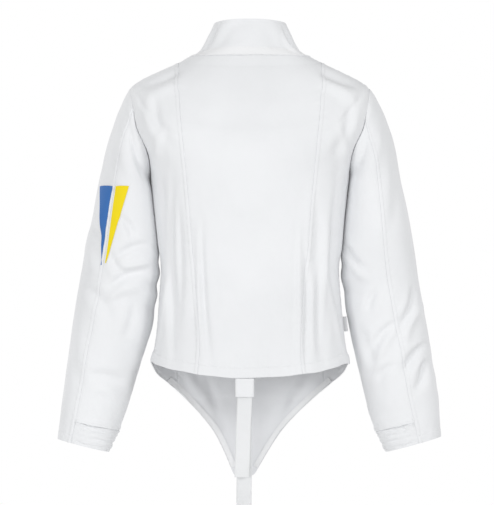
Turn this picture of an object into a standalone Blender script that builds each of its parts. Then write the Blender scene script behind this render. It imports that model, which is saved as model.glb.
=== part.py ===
"""A fencing jacket in worn form: collar, seamed back, two-piece sleeves, front tail and crotch strap.

The jacket is a hollow cloth wall. Lengths in the tables are in millimetres, and the scene is in metres.
The front faces -Y, the back +Y, the wearer's left is +X, and the origin is the middle of the neck base.
"""

from collections import namedtuple
from functools import lru_cache, partial
from math import asin, atan2, cos, exp, pi, radians, sin, sqrt

import bmesh
import bpy
from mathutils import Matrix, Vector

MM = 0.001

# Cloth
WALL = 2.2
SEAM_GAP = 0.3
BAND_WALL = 1.2
SHARP_ANGLE = radians(40)
BAR_SIDES = 16

# Body rings, from the hem (level 0) up to the neck (level 15), and below the hem for the front tail
Ring = namedtuple("Ring", "level half_width back_y front_y side_z back_z front_z")
BODY_RINGS = (
    Ring(-4, 156, 92, -104, -672, -684, -684),
    Ring(-3, 159, 96, -114, -620, -632, -630),
    Ring(-2, 160, 98, -119, -571, -585, -581),
    Ring(-1, 160.5, 99, -121, -528, -548, -539),
    Ring(0, 160, 100, -121, -491, -514, -500),
    Ring(1, 155, 99, -119, -470, -490, -478),
    Ring(2, 151, 96, -117, -440, -455, -445),
    Ring(3, 146.5, 92, -114, -392, -400, -394),
    Ring(4, 143, 90, -112, -346, -346, -346),
    Ring(5, 145, 93, -114, -312, -308, -312),
    Ring(6, 152, 101, -120, -243, -238, -243),
    Ring(7, 160, 106, -122, -184, -190, -190),
    Ring(8, 176, 108, -121, -150, -165, -168),
    Ring(9, 196, 107, -118, -112, -142, -150),
    Ring(10, 199, 104, -112, -78, -125, -138),
    Ring(11, 193, 98, -104, -53, -108, -124),
    Ring(12, 177, 91, -97, -40, -82, -104),
    Ring(13, 150, 80, -88, -28, -52, -82),
    Ring(14, 120, 68, -78, -14, -24, -62),
    Ring(15, 98, 58, -69, -2, -1, -46),
)
BODY_SQUARENESS = 2.5
HEM_LEVEL = 0
NECK_LEVEL = 15
TAIL_END_LEVEL = -4
TAIL_SWAY = 10  # the tail's tip hangs this far to the wearer's left

# Collar rings, from the neck seam (level 0) to the top edge (level 5)
COLLAR_RINGS = (
    Ring(0, 97.4, 57.9, -68.9, -1.4, -0.4, -45.4),
    Ring(1, 84, 56, -67.5, 4, 10, -35),
    Ring(2, 74, 53, -65, 17, 22, -21),
    Ring(3, 65.5, 49, -61.5, 35, 41, -2),
    Ring(4, 60, 46.5, -59, 47, 52, 10),
    Ring(5, 57, 45.5, -57.5, 53, 58, 15),
)
COLLAR_SQUARENESS = BODY_SQUARENESS  # so that the collar follows the neck seam
COLLAR_TOP_LEVEL = 5
COLLAR_UPPER_LEVELS = (2, 3, 4)
COLLAR_EDGE_LEVEL = 4.6
COLLAR_STEPS = 32
NECK_BAND_LEVELS = (0.15, 0.5, 0.85, 1.25)

# Armhole: a closed loop round the side of the body, from the underarm to the shoulder tip
UNDERARM_LEVEL = 7
SHOULDER_TIP_LEVEL = 11
ARMHOLE_REACH = 0.28  # how far round the body it reaches, as a part of a quarter turn
ARMHOLE_STEP = 18  # degrees between its points, on the body and on the sleeves

# Back princess seam: its distance from the centre at each height level
Seam = namedtuple("Seam", "level x")
BACK_SEAM = (
    Seam(0, 83),
    Seam(1, 81),
    Seam(2, 80),
    Seam(3, 84),
    Seam(4, 88),
    Seam(5, 92),
    Seam(6, 97),
    Seam(7, 102),
    Seam(9, 107),
    Seam(11, 111),
    Seam(13, 114),
    Seam(15, 115),
)
BACK_SEAM_SHOULDER_X = 115
# Front seam: from the tail edge up to the armhole
FRONT_SEAM = (
    Seam(-1, 121),
    Seam(0, 120),
    Seam(2, 114),
    Seam(4, 112),
    Seam(6, 126),
    Seam(7, 141),
    Seam(7.8, 163.2),
)
FRONT_SEAM_BEND_LEVEL = 7.4
FRONT_SEAM_TOP_LEVEL = 7.74
FRONT_SEAM_ARMHOLE_ANGLE = 126

# Tail edge of the front: height at each distance from the centre
Edge = namedtuple("Edge", "x z")
TAIL_EDGE = (
    Edge(0, -681),
    Edge(16, -680),
    Edge(24.6, -664),
    Edge(37, -640),
    Edge(54, -611),
    Edge(76, -584),
    Edge(99, -560),
    Edge(117, -543),
    Edge(132, -530),
    Edge(152, -511),
    Edge(161, -492),
)
TAIL_OPENING = 0.6  # between the tail's halves
TAIL_HEM_WIDTH = 9
TAIL_HEM_INSET = 0.6
TAIL_HEM_WALL = 1.0
TAIL_HEM_GAP = 0.6
TAIL_HEM_X = (22, 30, 40, 52, 64, 76, 88, 100, 112, 124, 136)

# Sleeve sections below the armhole: outer and inner edge points seen from behind, for each arm
Section = namedtuple("Section", "left_outer left_inner right_outer right_inner half_depth y")
SLEEVE_SECTIONS = (
    Section((211, -88), (159.2, -197), (211, -82), (159.4, -194), 60, -2),
    Section((219, -109), (157.2, -210), (221, -106), (157.4, -208), 62, -3),
    Section((232, -150), (154.7, -229), (234, -146), (155.1, -226), 63, -4),
    Section((246, -218), (150.2, -267), (246, -210), (151.2, -258), 63, -5),
    Section((256, -267), (146.5, -306), (258, -270), (146.8, -304), 60, -6),
    Section((267, -320), (145.2, -344), (265, -312), (145.3, -340), 56, -8),
    Section((275, -363), (148, -387), (272, -360), (150, -383), 53, -10),
    Section((284, -416), (158, -438), (283, -421), (161, -442), 50, -13),
    Section((292, -474), (177, -494), (293, -475), (174, -498), 47, -16),
    Section((299.5, -525), (191, -544), (301, -533), (186, -550), 43, -19),
    Section((305, -562), (203, -581), (305, -558), (195, -584), 39, -21),
    Section((311, -617), (228, -638), (309, -613), (219, -638), 34, -23),
)
CUFF_END = len(SLEEVE_SECTIONS)
SLEEVE_ROWS = (0, 0.4, 1, 1.7, 2.5, 3.4, 4.3, 5.1, 5.7, 6.3, 6.9, 7.5, 8.2, 9, 9.8, 10.5)
TUCK_ROW = 11.4  # the tuck where the cuff starts
CUFF_ROWS = (TUCK_ROW, 11.5, 11.6, 11.7, 11.8, 11.9, CUFF_END)
CUFF_ROLLS = 2
CUFF_ROLL_HEIGHT = 1.6
CUFF_ROLL_TAPER = 20  # degrees over which the rolls die out towards the seams
ARMHOLE_CLEARANCE = 1.0
SLEEVE_BACK_SEAM = {"left": 63, "right": 80}  # degrees round from the outer edge
SLEEVE_FRONT_SEAM = 250
SEAM_STEP = 6  # the least angle between a sleeve's seam and the next of its points

# Largest folds in the solids: place round and up the surface, reach each way, slant and height
Fold = namedtuple("Fold", "across along width length slant height")
BODY_FOLDS = (
    Fold(0.60, 2.6, 0.045, 1.9, 0.010, -3.2),
    Fold(0.72, 3.0, 0.050, 1.7, -0.015, 3.0),
    Fold(-0.58, 2.8, 0.045, 1.8, -0.010, -3.0),
    Fold(-0.70, 2.6, 0.050, 2.0, 0.015, 3.2),
    Fold(1.30, 2.7, 0.060, 1.9, 0.005, -2.8),
    Fold(-1.32, 3.1, 0.060, 1.8, -0.005, -2.8),
    Fold(0.62, 10.4, 0.060, 1.2, 0.050, -2.6),
    Fold(-0.62, 10.6, 0.060, 1.2, -0.050, -2.8),
    Fold(1.42, 9.6, 0.070, 1.3, -0.060, -3.0),
    Fold(-1.40, 9.4, 0.070, 1.3, 0.060, -2.8),
)
SLEEVE_FOLDS = {
    "left": (
        Fold(165, 6.6, 60, 0.28, 0.004, -4.6),
        Fold(150, 7.35, 55, 0.30, -0.005, -3.8),
        Fold(205, 5.7, 50, 0.30, 0.004, -3.4),
        Fold(35, 9.0, 30, 0.60, 0.020, 3.0),
        Fold(110, 9.9, 34, 0.45, 0.020, -3.2),
    ),
    "right": (
        Fold(150, 6.9, 60, 0.30, -0.004, -4.0),
        Fold(60, 8.1, 40, 0.36, 0.012, -3.6),
        Fold(48, 9.3, 38, 0.36, 0.012, -3.8),
        Fold(205, 5.9, 50, 0.30, 0.004, -3.2),
        Fold(110, 9.8, 36, 0.45, 0.016, -3.0),
    ),
}

# Zip at the centre front
ZIP_OPENING = 6.4
ZIP_TAPE_WIDTH = 28
ZIP_TAPE_WALL = 1.0
ZIP_TAPE_GAP = 0.7
ZIP_CHAIN_WIDTH = 5.6
ZIP_CHAIN_WALL = 2.2
ZIP_TAPE_BOTTOM = 0.1
ZIP_COLLAR_END = 4.7
ZIP_UPPER_LEVELS = (7.8, 8.6, 9.4, 10.3, 11, 12.1, 13.2, 14.1, 14.7)
ZIP_TAPE_STEPS = 4
ZIP_CHAIN_START = 0.05  # above the level where the tail joins
SLIDER_LEVEL = 4.0
SLIDER_REACH = 0.5  # levels either side that give its lean
SLIDER_SIZE = (9.0, 4.0, 12.0)
SLIDER_ROUNDING = 0.8
BRIDGE_SIZE = (2.0, 7.0)  # wide and high
BRIDGE_WALL = 0.9
BRIDGE_ROOT = 1.0  # how deep it runs into the slider
SLOT_RADIUS = 1.5
PULL_AXIS_HEIGHT = 1.8
PULL_SIZE = (6.0, 1.3, 30.0)
PULL_ROUNDING = 0.4
PULL_HOLE = (3.4, 4.0, 5.4)
PULL_HOLE_DROP = 0.2
PULL_BAR_RADIUS = 0.9
PULL_BAR_INSET = 1.0
CUTTER_EXTRA = 4.0

# Crotch strap, its loop at the back hem and the side label
STRAP_WIDTH = 23.5
STRAP_WALL = 1.5
Stop = namedtuple("Stop", "x y z")
STRAP_ROUTE = (
    Stop(10.0, -113.6, -644),
    Stop(10.0, -110.4, -663),
    Stop(10.0, -106.4, -682),
    Stop(10.0, -98.0, -713),
    Stop(9.8, -74.0, -754),
    Stop(9.6, -36.0, -781),
    Stop(9.4, 8.0, -788),
    Stop(9.4, 50.0, -770),
    Stop(9.4, 79.0, -726),
    Stop(9.4, 91.0, -674),
    Stop(9.3, 94.6, -610),
    Stop(9.0, 95.6, -550),
    Stop(9.0, 96.9, -530),
    Stop(9.0, 97.4, -527),
    Stop(9.0, 98.9, -525.4),
    Stop(9.0, 100.4, -527),
    Stop(9.0, 100.85, -530),
    Stop(9.1, 101.3, -550),
    Stop(10.6, 101.4, -610),
    Stop(12.4, 99.6, -672),
)
LOOP_CENTRE_X = 8.5
LOOP_WIDTH = 30.0
LOOP_WALL = 1.3
LOOP_TOP = (-515.6, 95.6, 102.4)  # height, inside face and outside face
LOOP_BOTTOM = (-545.0, 92.8, 104.2)
LOOP_TAB_FOOT_Z = -520.0
LOOP_TAB_TOP_Z = -498.0
LOOP_TAB_Y = (94.9, 96.4)
LOOP_TAB_INSET = 2.0
STRAP_STEPS = 2  # between two stops
LABEL_SIZE = (9.5, 1.0, 24.0)
LABEL_ROUNDING = 0.3
LABEL_REACH = 0.3  # levels either side that give its lean
LABEL_TURN = 50  # degrees from straight out towards the back
LABEL_GAP = 0.8
LABEL_CENTRE_Z = -431.0

COLLECTION = bpy.data.collections.new("fencing_jacket")
CUTTERS = bpy.data.collections.new("cutters")


def clear_scene():
    for obj in list(bpy.data.objects):
        bpy.data.objects.remove(obj, do_unlink=True)
    bpy.context.scene.collection.children.link(COLLECTION)
    bpy.context.scene.collection.children.link(CUTTERS)


def make_material(name, colour, roughness, metallic=0.0):
    material = bpy.data.materials.new(name)
    material.use_nodes = True
    shader = material.node_tree.nodes["Principled BSDF"]
    shader.inputs["Base Color"].default_value = (*colour, 1.0)
    shader.inputs["Roughness"].default_value = roughness
    shader.inputs["Metallic"].default_value = metallic
    return material


def smooth(values, where):
    """A smooth curve through (place, value) pairs in rising order of place, level at neither end."""
    last = len(values) - 1
    index = 0
    while index < last - 1 and where > values[index + 1][0]:
        index += 1
    (x0, y0), (x1, y1) = values[index], values[index + 1]
    before = values[max(index - 1, 0)]
    after = values[min(index + 2, last)]
    slope_in = (y1 - before[1]) / (x1 - before[0])
    slope_out = (after[1] - y0) / (after[0] - x0)
    span = x1 - x0
    t = (where - x0) / span
    return (
        y0 * (1 + 2 * t) * (1 - t) ** 2
        + y1 * t * t * (3 - 2 * t)
        + slope_in * span * t * (1 - t) ** 2
        - slope_out * span * t * t * (1 - t)
    )


def columns_of(rings):
    return {
        field: [(ring.level, getattr(ring, field)) for ring in rings] for field in Ring._fields[1:]
    }


BODY_COLUMNS = columns_of(BODY_RINGS)
COLLAR_COLUMNS = columns_of(COLLAR_RINGS)


def ring_point(columns, squareness, across, level):
    """A point of a ring: across is 0 at the centre back, 1 at the left side, 2 at the centre front."""
    across = (across + 2) % 4 - 2
    side = 1 if across >= 0 else -1
    angle = abs(across) * pi / 2
    power = 2 / squareness
    facing_back = abs(across) <= 1
    depth = smooth(columns["back_y" if facing_back else "front_y"], level)
    side_z = smooth(columns["side_z"], level)
    middle_z = smooth(columns["back_z" if facing_back else "front_z"], level)
    x = side * smooth(columns["half_width"], level) * max(sin(angle), 0.0) ** power
    y = depth * abs(cos(angle)) ** power
    return Vector((x, y, side_z + (middle_z - side_z) * cos(angle) ** 2))


def fold_height(folds, turn, across, along):
    """The height of the folds at a place, where turn is once round the surface."""
    total = 0.0
    for fold in folds:
        offset = across - fold.across - fold.slant * turn * (along - fold.along)
        offset = ((offset + turn / 2) % turn - turn / 2) / fold.width
        distance = (along - fold.along) / fold.length
        total += fold.height * exp(-offset * offset - distance * distance)
    return total


def body_plain(across, level):
    point = ring_point(BODY_COLUMNS, BODY_SQUARENESS, across, level)
    if level < HEM_LEVEL:
        point.x += TAIL_SWAY * (level / TAIL_END_LEVEL) ** 2
    return point


def collar_plain(across, level):
    return ring_point(COLLAR_COLUMNS, COLLAR_SQUARENESS, across, level)


def normal_of(surface, across, along, steps):
    """The outward normal of a surface whose places run round it and then up it."""
    step_across, step_along = steps
    round_it = surface(across + step_across, along) - surface(across - step_across, along)
    up_it = surface(across, along + step_along) - surface(across, along - step_along)
    return up_it.cross(round_it).normalized()


RING_STEPS = (0.01, 0.02)


def body(across, level):
    height = fold_height(BODY_FOLDS, 4, across, level)
    return body_plain(across, level) + normal_of(body_plain, across, level, RING_STEPS) * height


def body_at(across, level, offset):
    """A point of the body, moved out by offset along its normal."""
    return body(across, level) + normal_of(body, across, level, RING_STEPS) * offset


def collar_at(across, level, offset):
    return collar_plain(across, level) + normal_of(collar_plain, across, level, RING_STEPS) * offset


def across_at(level, x, front=False, columns=BODY_COLUMNS, squareness=BODY_SQUARENESS):
    """Where the ring of this level is x from the centre, as a place round the ring."""
    part = min(x / smooth(columns["half_width"], level), 1.0) ** (squareness / 2)
    place = asin(part) / (pi / 2)
    return 2 - place if front else place


def armhole(angle, mirrored=False):
    """A point of the armhole, as (across, level): 0 is the shoulder tip, 90 the back, 180 the underarm."""
    middle = (UNDERARM_LEVEL + SHOULDER_TIP_LEVEL) / 2
    half = (SHOULDER_TIP_LEVEL - UNDERARM_LEVEL) / 2
    across = 1 - ARMHOLE_REACH * sin(radians(angle))
    return (-across if mirrored else across), middle + half * cos(radians(angle))


def spread(start, end, count):
    return [start + (end - start) * i / count for i in range(count + 1)]


def inset(points, gap):
    """Draws each end of a row of points in by half a seam gap."""
    first, last = points[0], points[-1]
    points[0] = first + (points[1] - first).normalized() * (gap / 2)
    points[-1] = last + (points[-2] - last).normalized() * (gap / 2)
    return points


def cloth(name, at, rows, material, wall=WALL, outside=0.0):
    """A cloth wall over a grid of places on a surface: at(a, b, offset) gives its points."""
    layers = []
    for offset in (outside, outside - wall):
        grid = [inset([at(a, b, offset) for a, b in row], SEAM_GAP) for row in rows]
        columns = [inset(list(column), SEAM_GAP) for column in zip(*grid)]
        layers.append([list(row) for row in zip(*columns)])
    return solid_between(name, layers, material)


def solid_between(name, layers, material):
    """A closed solid between two like grids of points, in millimetres."""
    height, width = len(layers[0]), len(layers[0][0])
    mesh = bpy.data.meshes.new(name)
    made = bmesh.new()
    outer, inner = ([[made.verts.new(p * MM) for p in row] for row in layer] for layer in layers)
    for i in range(height - 1):
        for j in range(width - 1):
            made.faces.new((outer[i][j], outer[i][j + 1], outer[i + 1][j + 1], outer[i + 1][j]))
            made.faces.new((inner[i][j], inner[i + 1][j], inner[i + 1][j + 1], inner[i][j + 1]))
    rim = [(0, j) for j in range(width)]
    rim += [(i, width - 1) for i in range(1, height)]
    rim += [(height - 1, j) for j in range(width - 2, -1, -1)]
    rim += [(i, 0) for i in range(height - 2, 0, -1)]
    for (i, j), (k, m) in zip(rim, rim[1:] + rim[:1]):
        made.faces.new((outer[k][m], outer[i][j], inner[i][j], inner[k][m]))
    bmesh.ops.recalc_face_normals(made, faces=made.faces)
    made.to_mesh(mesh)
    made.free()
    return add_object(name, mesh, material)


def add_object(name, mesh, material, collection=COLLECTION):
    obj = bpy.data.objects.new(name, mesh)
    mesh.materials.append(material)
    mesh.shade_smooth()
    mesh.set_sharp_from_angle(angle=SHARP_ANGLE)
    collection.objects.link(obj)
    return obj


def between(start, end, count):
    """A row of places between two places on a surface."""
    return list(zip(spread(start[0], end[0], count), spread(start[1], end[1], count)))


# Places on the body where the panels have their points
LOW_LEVELS = (0, 0.6, 1.2, 1.9, 2.6, 3.3, 4, 4.7, 5.5, 6.3, 7)
BACK_UPPER_LEVELS = (7.9, 8.8, 9.7, 10.6, 11.5, 12.3)
SHOULDER_SEAM_PLACES = (0.53, 0.66, 0.8, 1.0)
FRONT_SHOULDER_LEVELS = (12.1, 13.2, 14.1, NECK_LEVEL)
SIDE_STEPS = 6
BACK_CENTRE_STEPS = 12
FRONT_SIDE_STEPS = 5
FRONT_STEPS = 9
NECK_STEPS = 2
HALVINGS = 30


def level_where(below, low, high):
    """The level between low and high where a test stops holding, found by halving."""
    for _ in range(HALVINGS):
        middle = (low + high) / 2
        if below(middle):
            low = middle
        else:
            high = middle
    return (low + high) / 2


def back_seam_places():
    """The back princess seam from the hem to the shoulder seam."""
    column = [(seam.level, seam.x) for seam in BACK_SEAM]
    levels = LOW_LEVELS + BACK_UPPER_LEVELS
    places = [(across_at(level, smooth(column, level)), level) for level in levels]
    for across in SHOULDER_SEAM_PLACES:

        def wide(level, across=across):
            return body_plain(across, level).x > BACK_SEAM_SHOULDER_X

        places.append((across, level_where(wide, SHOULDER_TIP_LEVEL, NECK_LEVEL)))
    return places


def flip(places):
    return [(-across, level) for across, level in places]


def make_back(material):
    seam = back_seam_places()
    side = [(1.0, level) for level in LOW_LEVELS]
    side += [armhole(angle) for angle in spread(180, 0, len(seam) - len(LOW_LEVELS))[1:]]
    side_rows = [between(a, b, SIDE_STEPS) for a, b in zip(seam, side)]
    cloth("back_side_left", body_at, side_rows, material)
    cloth("back_side_right", body_at, [flip(row) for row in side_rows], material)
    above = [(1.0, level) for level in spread(seam[-1][1], NECK_LEVEL, NECK_STEPS)[1:]]
    centre_rows = [between((-a, level), (a, level), BACK_CENTRE_STEPS) for a, level in seam + above]
    cloth("back_center", body_at, centre_rows, material)


TAIL_EDGE_COLUMN = [(edge.x, edge.z) for edge in TAIL_EDGE]
FRONT_SEAM_COLUMN = [(seam.level, seam.x) for seam in FRONT_SEAM]
FRONT_JOIN_LEVEL = 0.25  # where the tail's rows end and the front's level rows start
TAIL_PARTS = (0.0, 0.15, 0.35, 0.6, 0.94)


def front_ring(across, level):
    return ring_point(BODY_COLUMNS, BODY_SQUARENESS, across, level)


def tail_level(across):
    """The level of the front's lower edge at this place round the body."""

    def under_edge(level):
        point = front_ring(across, level)
        return point.z < smooth(TAIL_EDGE_COLUMN, abs(point.x))

    return level_where(under_edge, TAIL_END_LEVEL, FRONT_JOIN_LEVEL)


def front_place(x, z):
    """The place on the front that lies x from the centre, before the tail's sway, and at height z."""

    def lower(level):
        return front_ring(across_at(level, x, front=True), level).z < z

    level = level_where(lower, TAIL_END_LEVEL, SHOULDER_TIP_LEVEL)
    return across_at(level, x, front=True), level


def front_seam_across(level):
    return across_at(level, smooth(FRONT_SEAM_COLUMN, level), front=True)


def front_seam_foot():
    return level_where(lambda level: level < tail_level(front_seam_across(level)), TAIL_END_LEVEL, HEM_LEVEL)


def armhole_angle(level):
    """The angle round the armhole's lower part at this level, in degrees."""
    middle = (UNDERARM_LEVEL + SHOULDER_TIP_LEVEL) / 2
    half = (SHOULDER_TIP_LEVEL - UNDERARM_LEVEL) / 2
    return 180 - asin(sqrt(max(1 - ((level - middle) / half) ** 2, 0.0))) * 180 / pi


def tail_rows(start, end, count):
    """Rows from the tail's edge, at part 0, towards the join level, at part 1."""
    foot = [(across, tail_level(across)) for across in spread(start, end, count)]
    return [[(a, low + (FRONT_JOIN_LEVEL - low) * part) for a, low in foot] for part in TAIL_PARTS]


def make_front(material):
    upper_levels = [FRONT_JOIN_LEVEL] + [level for level in LOW_LEVELS if level > FRONT_JOIN_LEVEL]
    upper_levels += [FRONT_SEAM_BEND_LEVEL, FRONT_SEAM_TOP_LEVEL]
    seam_foot = front_seam_across(front_seam_foot())
    side_rows = tail_rows(1.0, seam_foot, FRONT_SIDE_STEPS)
    for level in upper_levels:
        start = 1.0
        if level > UNDERARM_LEVEL:
            start = 2 - armhole(armhole_angle(level))[0]
        side_rows.append(between((start, level), (front_seam_across(level), level), FRONT_SIDE_STEPS))
    cloth("front_side_left", body_at, side_rows, material)
    cloth("front_side_right", body_at, [flip(row) for row in side_rows], material)

    tail_centre = across_at(HEM_LEVEL, TAIL_OPENING / 2, front=True)
    rows = tail_rows(seam_foot, tail_centre, FRONT_STEPS)
    for level in upper_levels:
        rows.append(front_row(front_seam_across(level), level))
    for angle in range(FRONT_SEAM_ARMHOLE_ANGLE, -1, -ARMHOLE_STEP):
        across, level = armhole(angle)
        rows.append(front_row(2 - across, level))
    for level in FRONT_SHOULDER_LEVELS:
        rows.append(front_row(1.0, level))
    cloth("front_left", body_at, rows, material)
    cloth("front_right", body_at, [flip(row) for row in rows], material)


def front_row(outer, level):
    """A row of the front from its outer edge to the zip."""
    return between((outer, level), (across_at(level, ZIP_OPENING / 2, front=True), level), FRONT_STEPS)


def make_tail_hems(material):
    """The turned hem inside each half of the tail."""
    edge = [Vector((x, smooth(TAIL_EDGE_COLUMN, x))) for x in TAIL_HEM_X]
    outer_row, inner_row = [], []
    for index, point in enumerate(edge):
        along = edge[min(index + 1, len(edge) - 1)] - edge[max(index - 1, 0)]
        inward = Vector((-along.y, along.x)).normalized()
        low, high = point + inward * TAIL_HEM_INSET, point + inward * TAIL_HEM_WIDTH
        outer_row.append(front_place(low.x, low.y))
        inner_row.append(front_place(high.x, high.y))
    rows = [outer_row, inner_row]
    under = -WALL - TAIL_HEM_GAP
    cloth("tail_hem_left", body_at, rows, material, wall=TAIL_HEM_WALL, outside=under)
    cloth("tail_hem_right", body_at, [flip(row) for row in rows], material, wall=TAIL_HEM_WALL, outside=under)


# Collar
def collar_across(level, x):
    return across_at(level, x, True, COLLAR_COLUMNS, COLLAR_SQUARENESS)


def collar_row(level):
    edge = collar_across(level, ZIP_OPENING / 2)
    return between((-edge, level), (edge, level), COLLAR_STEPS)


def make_collar(material, band_material):
    levels = (0.0,) + NECK_BAND_LEVELS + COLLAR_UPPER_LEVELS + (COLLAR_EDGE_LEVEL, COLLAR_TOP_LEVEL)
    cloth("collar", collar_at, [collar_row(level) for level in levels], material)
    band_rows = [collar_row(level) for level in NECK_BAND_LEVELS]
    cloth("neck_band", collar_at, band_rows, band_material, BAND_WALL, BAND_WALL + SEAM_GAP)


# Sleeves
ARM_SIGN = {"left": 1, "right": -1}
ARM_STEPS = (2.0, 0.03)


@lru_cache(maxsize=None)
def arm_rings(side, angle):
    """The sleeve's line at this angle round it, through each section from the armhole to the cuff."""
    sign = ARM_SIGN[side]
    across, level = armhole(angle)
    start = body(sign * across, level)
    start.x += sign * ARMHOLE_CLEARANCE
    points = [start]
    for section in SLEEVE_SECTIONS:
        outer = getattr(section, side + "_outer")
        inner = getattr(section, side + "_inner")
        reach = cos(radians(angle))
        x = (outer[0] + inner[0]) / 2 + (outer[0] - inner[0]) / 2 * reach
        z = (outer[1] + inner[1]) / 2 + (outer[1] - inner[1]) / 2 * reach
        points.append(Vector((sign * x, section.y + section.half_depth * sin(radians(angle)), z)))
    return [[(row, point[axis]) for row, point in enumerate(points)] for axis in range(3)]


def arm_plain(side, angle, row):
    return Vector([smooth(line, row) for line in arm_rings(side, round(angle, 4))])


def arm_surface(side, angle, row):
    height = fold_height(SLEEVE_FOLDS[side], 360, angle, row)
    plain = partial(arm_plain, side)
    return arm_plain(side, angle, row) + ARM_SIGN[side] * normal_of(plain, angle, row, ARM_STEPS) * height


def arm_at(side, angle, row, offset):
    surface = partial(arm_surface, side)
    return arm_surface(side, angle, row) + ARM_SIGN[side] * normal_of(surface, angle, row, ARM_STEPS) * offset


def cuff_at(side, angle, row, offset):
    """The cuff below the tuck is pushed up into soft rolls that run round it."""
    part = (row - TUCK_ROW) / (CUFF_END - TUCK_ROW)
    from_seam = min(angle - SLEEVE_BACK_SEAM[side], SLEEVE_FRONT_SEAM - angle)
    taper = min(max(from_seam / CUFF_ROLL_TAPER, 0.0), 1.0)
    return arm_at(side, angle, row, offset + CUFF_ROLL_HEIGHT * taper * sin(pi * CUFF_ROLLS * part) ** 2)


def sleeve_rows(start, end, rows):
    """Rows across a sleeve piece, through the armhole's own steps between its two seams."""
    steps = range(-180, 360, ARMHOLE_STEP)
    angles = [start] + [angle for angle in steps if start + SEAM_STEP < angle < end - SEAM_STEP] + [end]
    return [[(angle, row) for angle in angles] for row in rows]


def make_sleeve(side, material):
    back, front = SLEEVE_BACK_SEAM[side], SLEEVE_FRONT_SEAM
    at = partial(arm_at, side)
    upper = sleeve_rows(front - 360, back, SLEEVE_ROWS + (TUCK_ROW, CUFF_END))
    cloth("sleeve_upper_" + side, at, upper, material)
    cloth("sleeve_under_" + side, at, sleeve_rows(back, front, SLEEVE_ROWS + (TUCK_ROW,)), material)
    cloth("cuff_" + side, partial(cuff_at, side), sleeve_rows(back, front, CUFF_ROWS), material)


# Zip
def zip_at(x, row, offset):
    """A point x from the middle of the front, where row runs up the body and then on up the collar."""
    side = 1 if x >= 0 else -1
    if row <= NECK_LEVEL:
        return body_at(side * across_at(row, abs(x), front=True), row, offset)
    level = row - NECK_LEVEL
    return collar_at(side * collar_across(level, abs(x)), level, offset)


def zip_rows(start, half_width, columns):
    levels = [start] + [level for level in LOW_LEVELS if level > start]
    levels += ZIP_UPPER_LEVELS
    levels += [NECK_LEVEL + level for level in NECK_BAND_LEVELS + COLLAR_UPPER_LEVELS + (ZIP_COLLAR_END,)]
    return [between((half_width, row), (-half_width, row), columns) for row in levels]


def make_zip(tape_material, chain_material, metal):
    under = -WALL - ZIP_TAPE_GAP
    tape_rows = zip_rows(ZIP_TAPE_BOTTOM, ZIP_TAPE_WIDTH / 2, ZIP_TAPE_STEPS)
    cloth("zip_tape", zip_at, tape_rows, tape_material, ZIP_TAPE_WALL, under)
    chain_rows = zip_rows(FRONT_JOIN_LEVEL + ZIP_CHAIN_START, ZIP_CHAIN_WIDTH / 2, 1)
    cloth("zip_chain", zip_at, chain_rows, chain_material, ZIP_CHAIN_WALL)
    make_slider(metal)


def frame_on_collar():
    """An empty on the collar's front, its Z up the collar and its -Y outward."""
    row = NECK_LEVEL + SLIDER_LEVEL
    low, high = zip_at(0.0, row - SLIDER_REACH, 0), zip_at(0.0, row + SLIDER_REACH, 0)
    up = (high - low).normalized()
    frame = bpy.data.objects.new("slider_frame", None)
    frame.location = zip_at(0.0, row, 0) * MM
    frame.rotation_euler.x = -atan2(up.y, up.z)
    COLLECTION.objects.link(frame)
    return frame


def add_box(name, size, centre, material, collection=COLLECTION, bevel=0.0):
    made = bmesh.new()
    bmesh.ops.create_cube(made, size=1.0)
    bmesh.ops.scale(made, vec=Vector(size) * MM, verts=made.verts)
    mesh = bpy.data.meshes.new(name)
    made.to_mesh(mesh)
    made.free()
    box = add_object(name, mesh, material, collection)
    box.location = Vector(centre) * MM
    if bevel:
        rounding = box.modifiers.new("rounding", "BEVEL")
        rounding.width = bevel * MM
        rounding.segments = 2
    return box


def add_bar(name, radius, length, centre, material, collection=COLLECTION):
    """A round bar along X."""
    made = bmesh.new()
    turned = Matrix.Rotation(pi / 2, 3, "Y")
    bmesh.ops.create_cone(
        made, cap_ends=True, segments=BAR_SIDES, radius1=radius * MM, radius2=radius * MM, depth=length * MM
    )
    bmesh.ops.rotate(made, matrix=turned, verts=made.verts)
    mesh = bpy.data.meshes.new(name)
    made.to_mesh(mesh)
    made.free()
    bar = add_object(name, mesh, material, collection)
    bar.location = Vector(centre) * MM
    return bar


def as_cutter(obj):
    obj.hide_render = True
    obj.display_type = "WIRE"
    return obj


def boolean(target, other, operation):
    as_cutter(other)
    step = target.modifiers.new(operation.lower(), "BOOLEAN")
    step.operation = operation
    step.object = other


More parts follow.
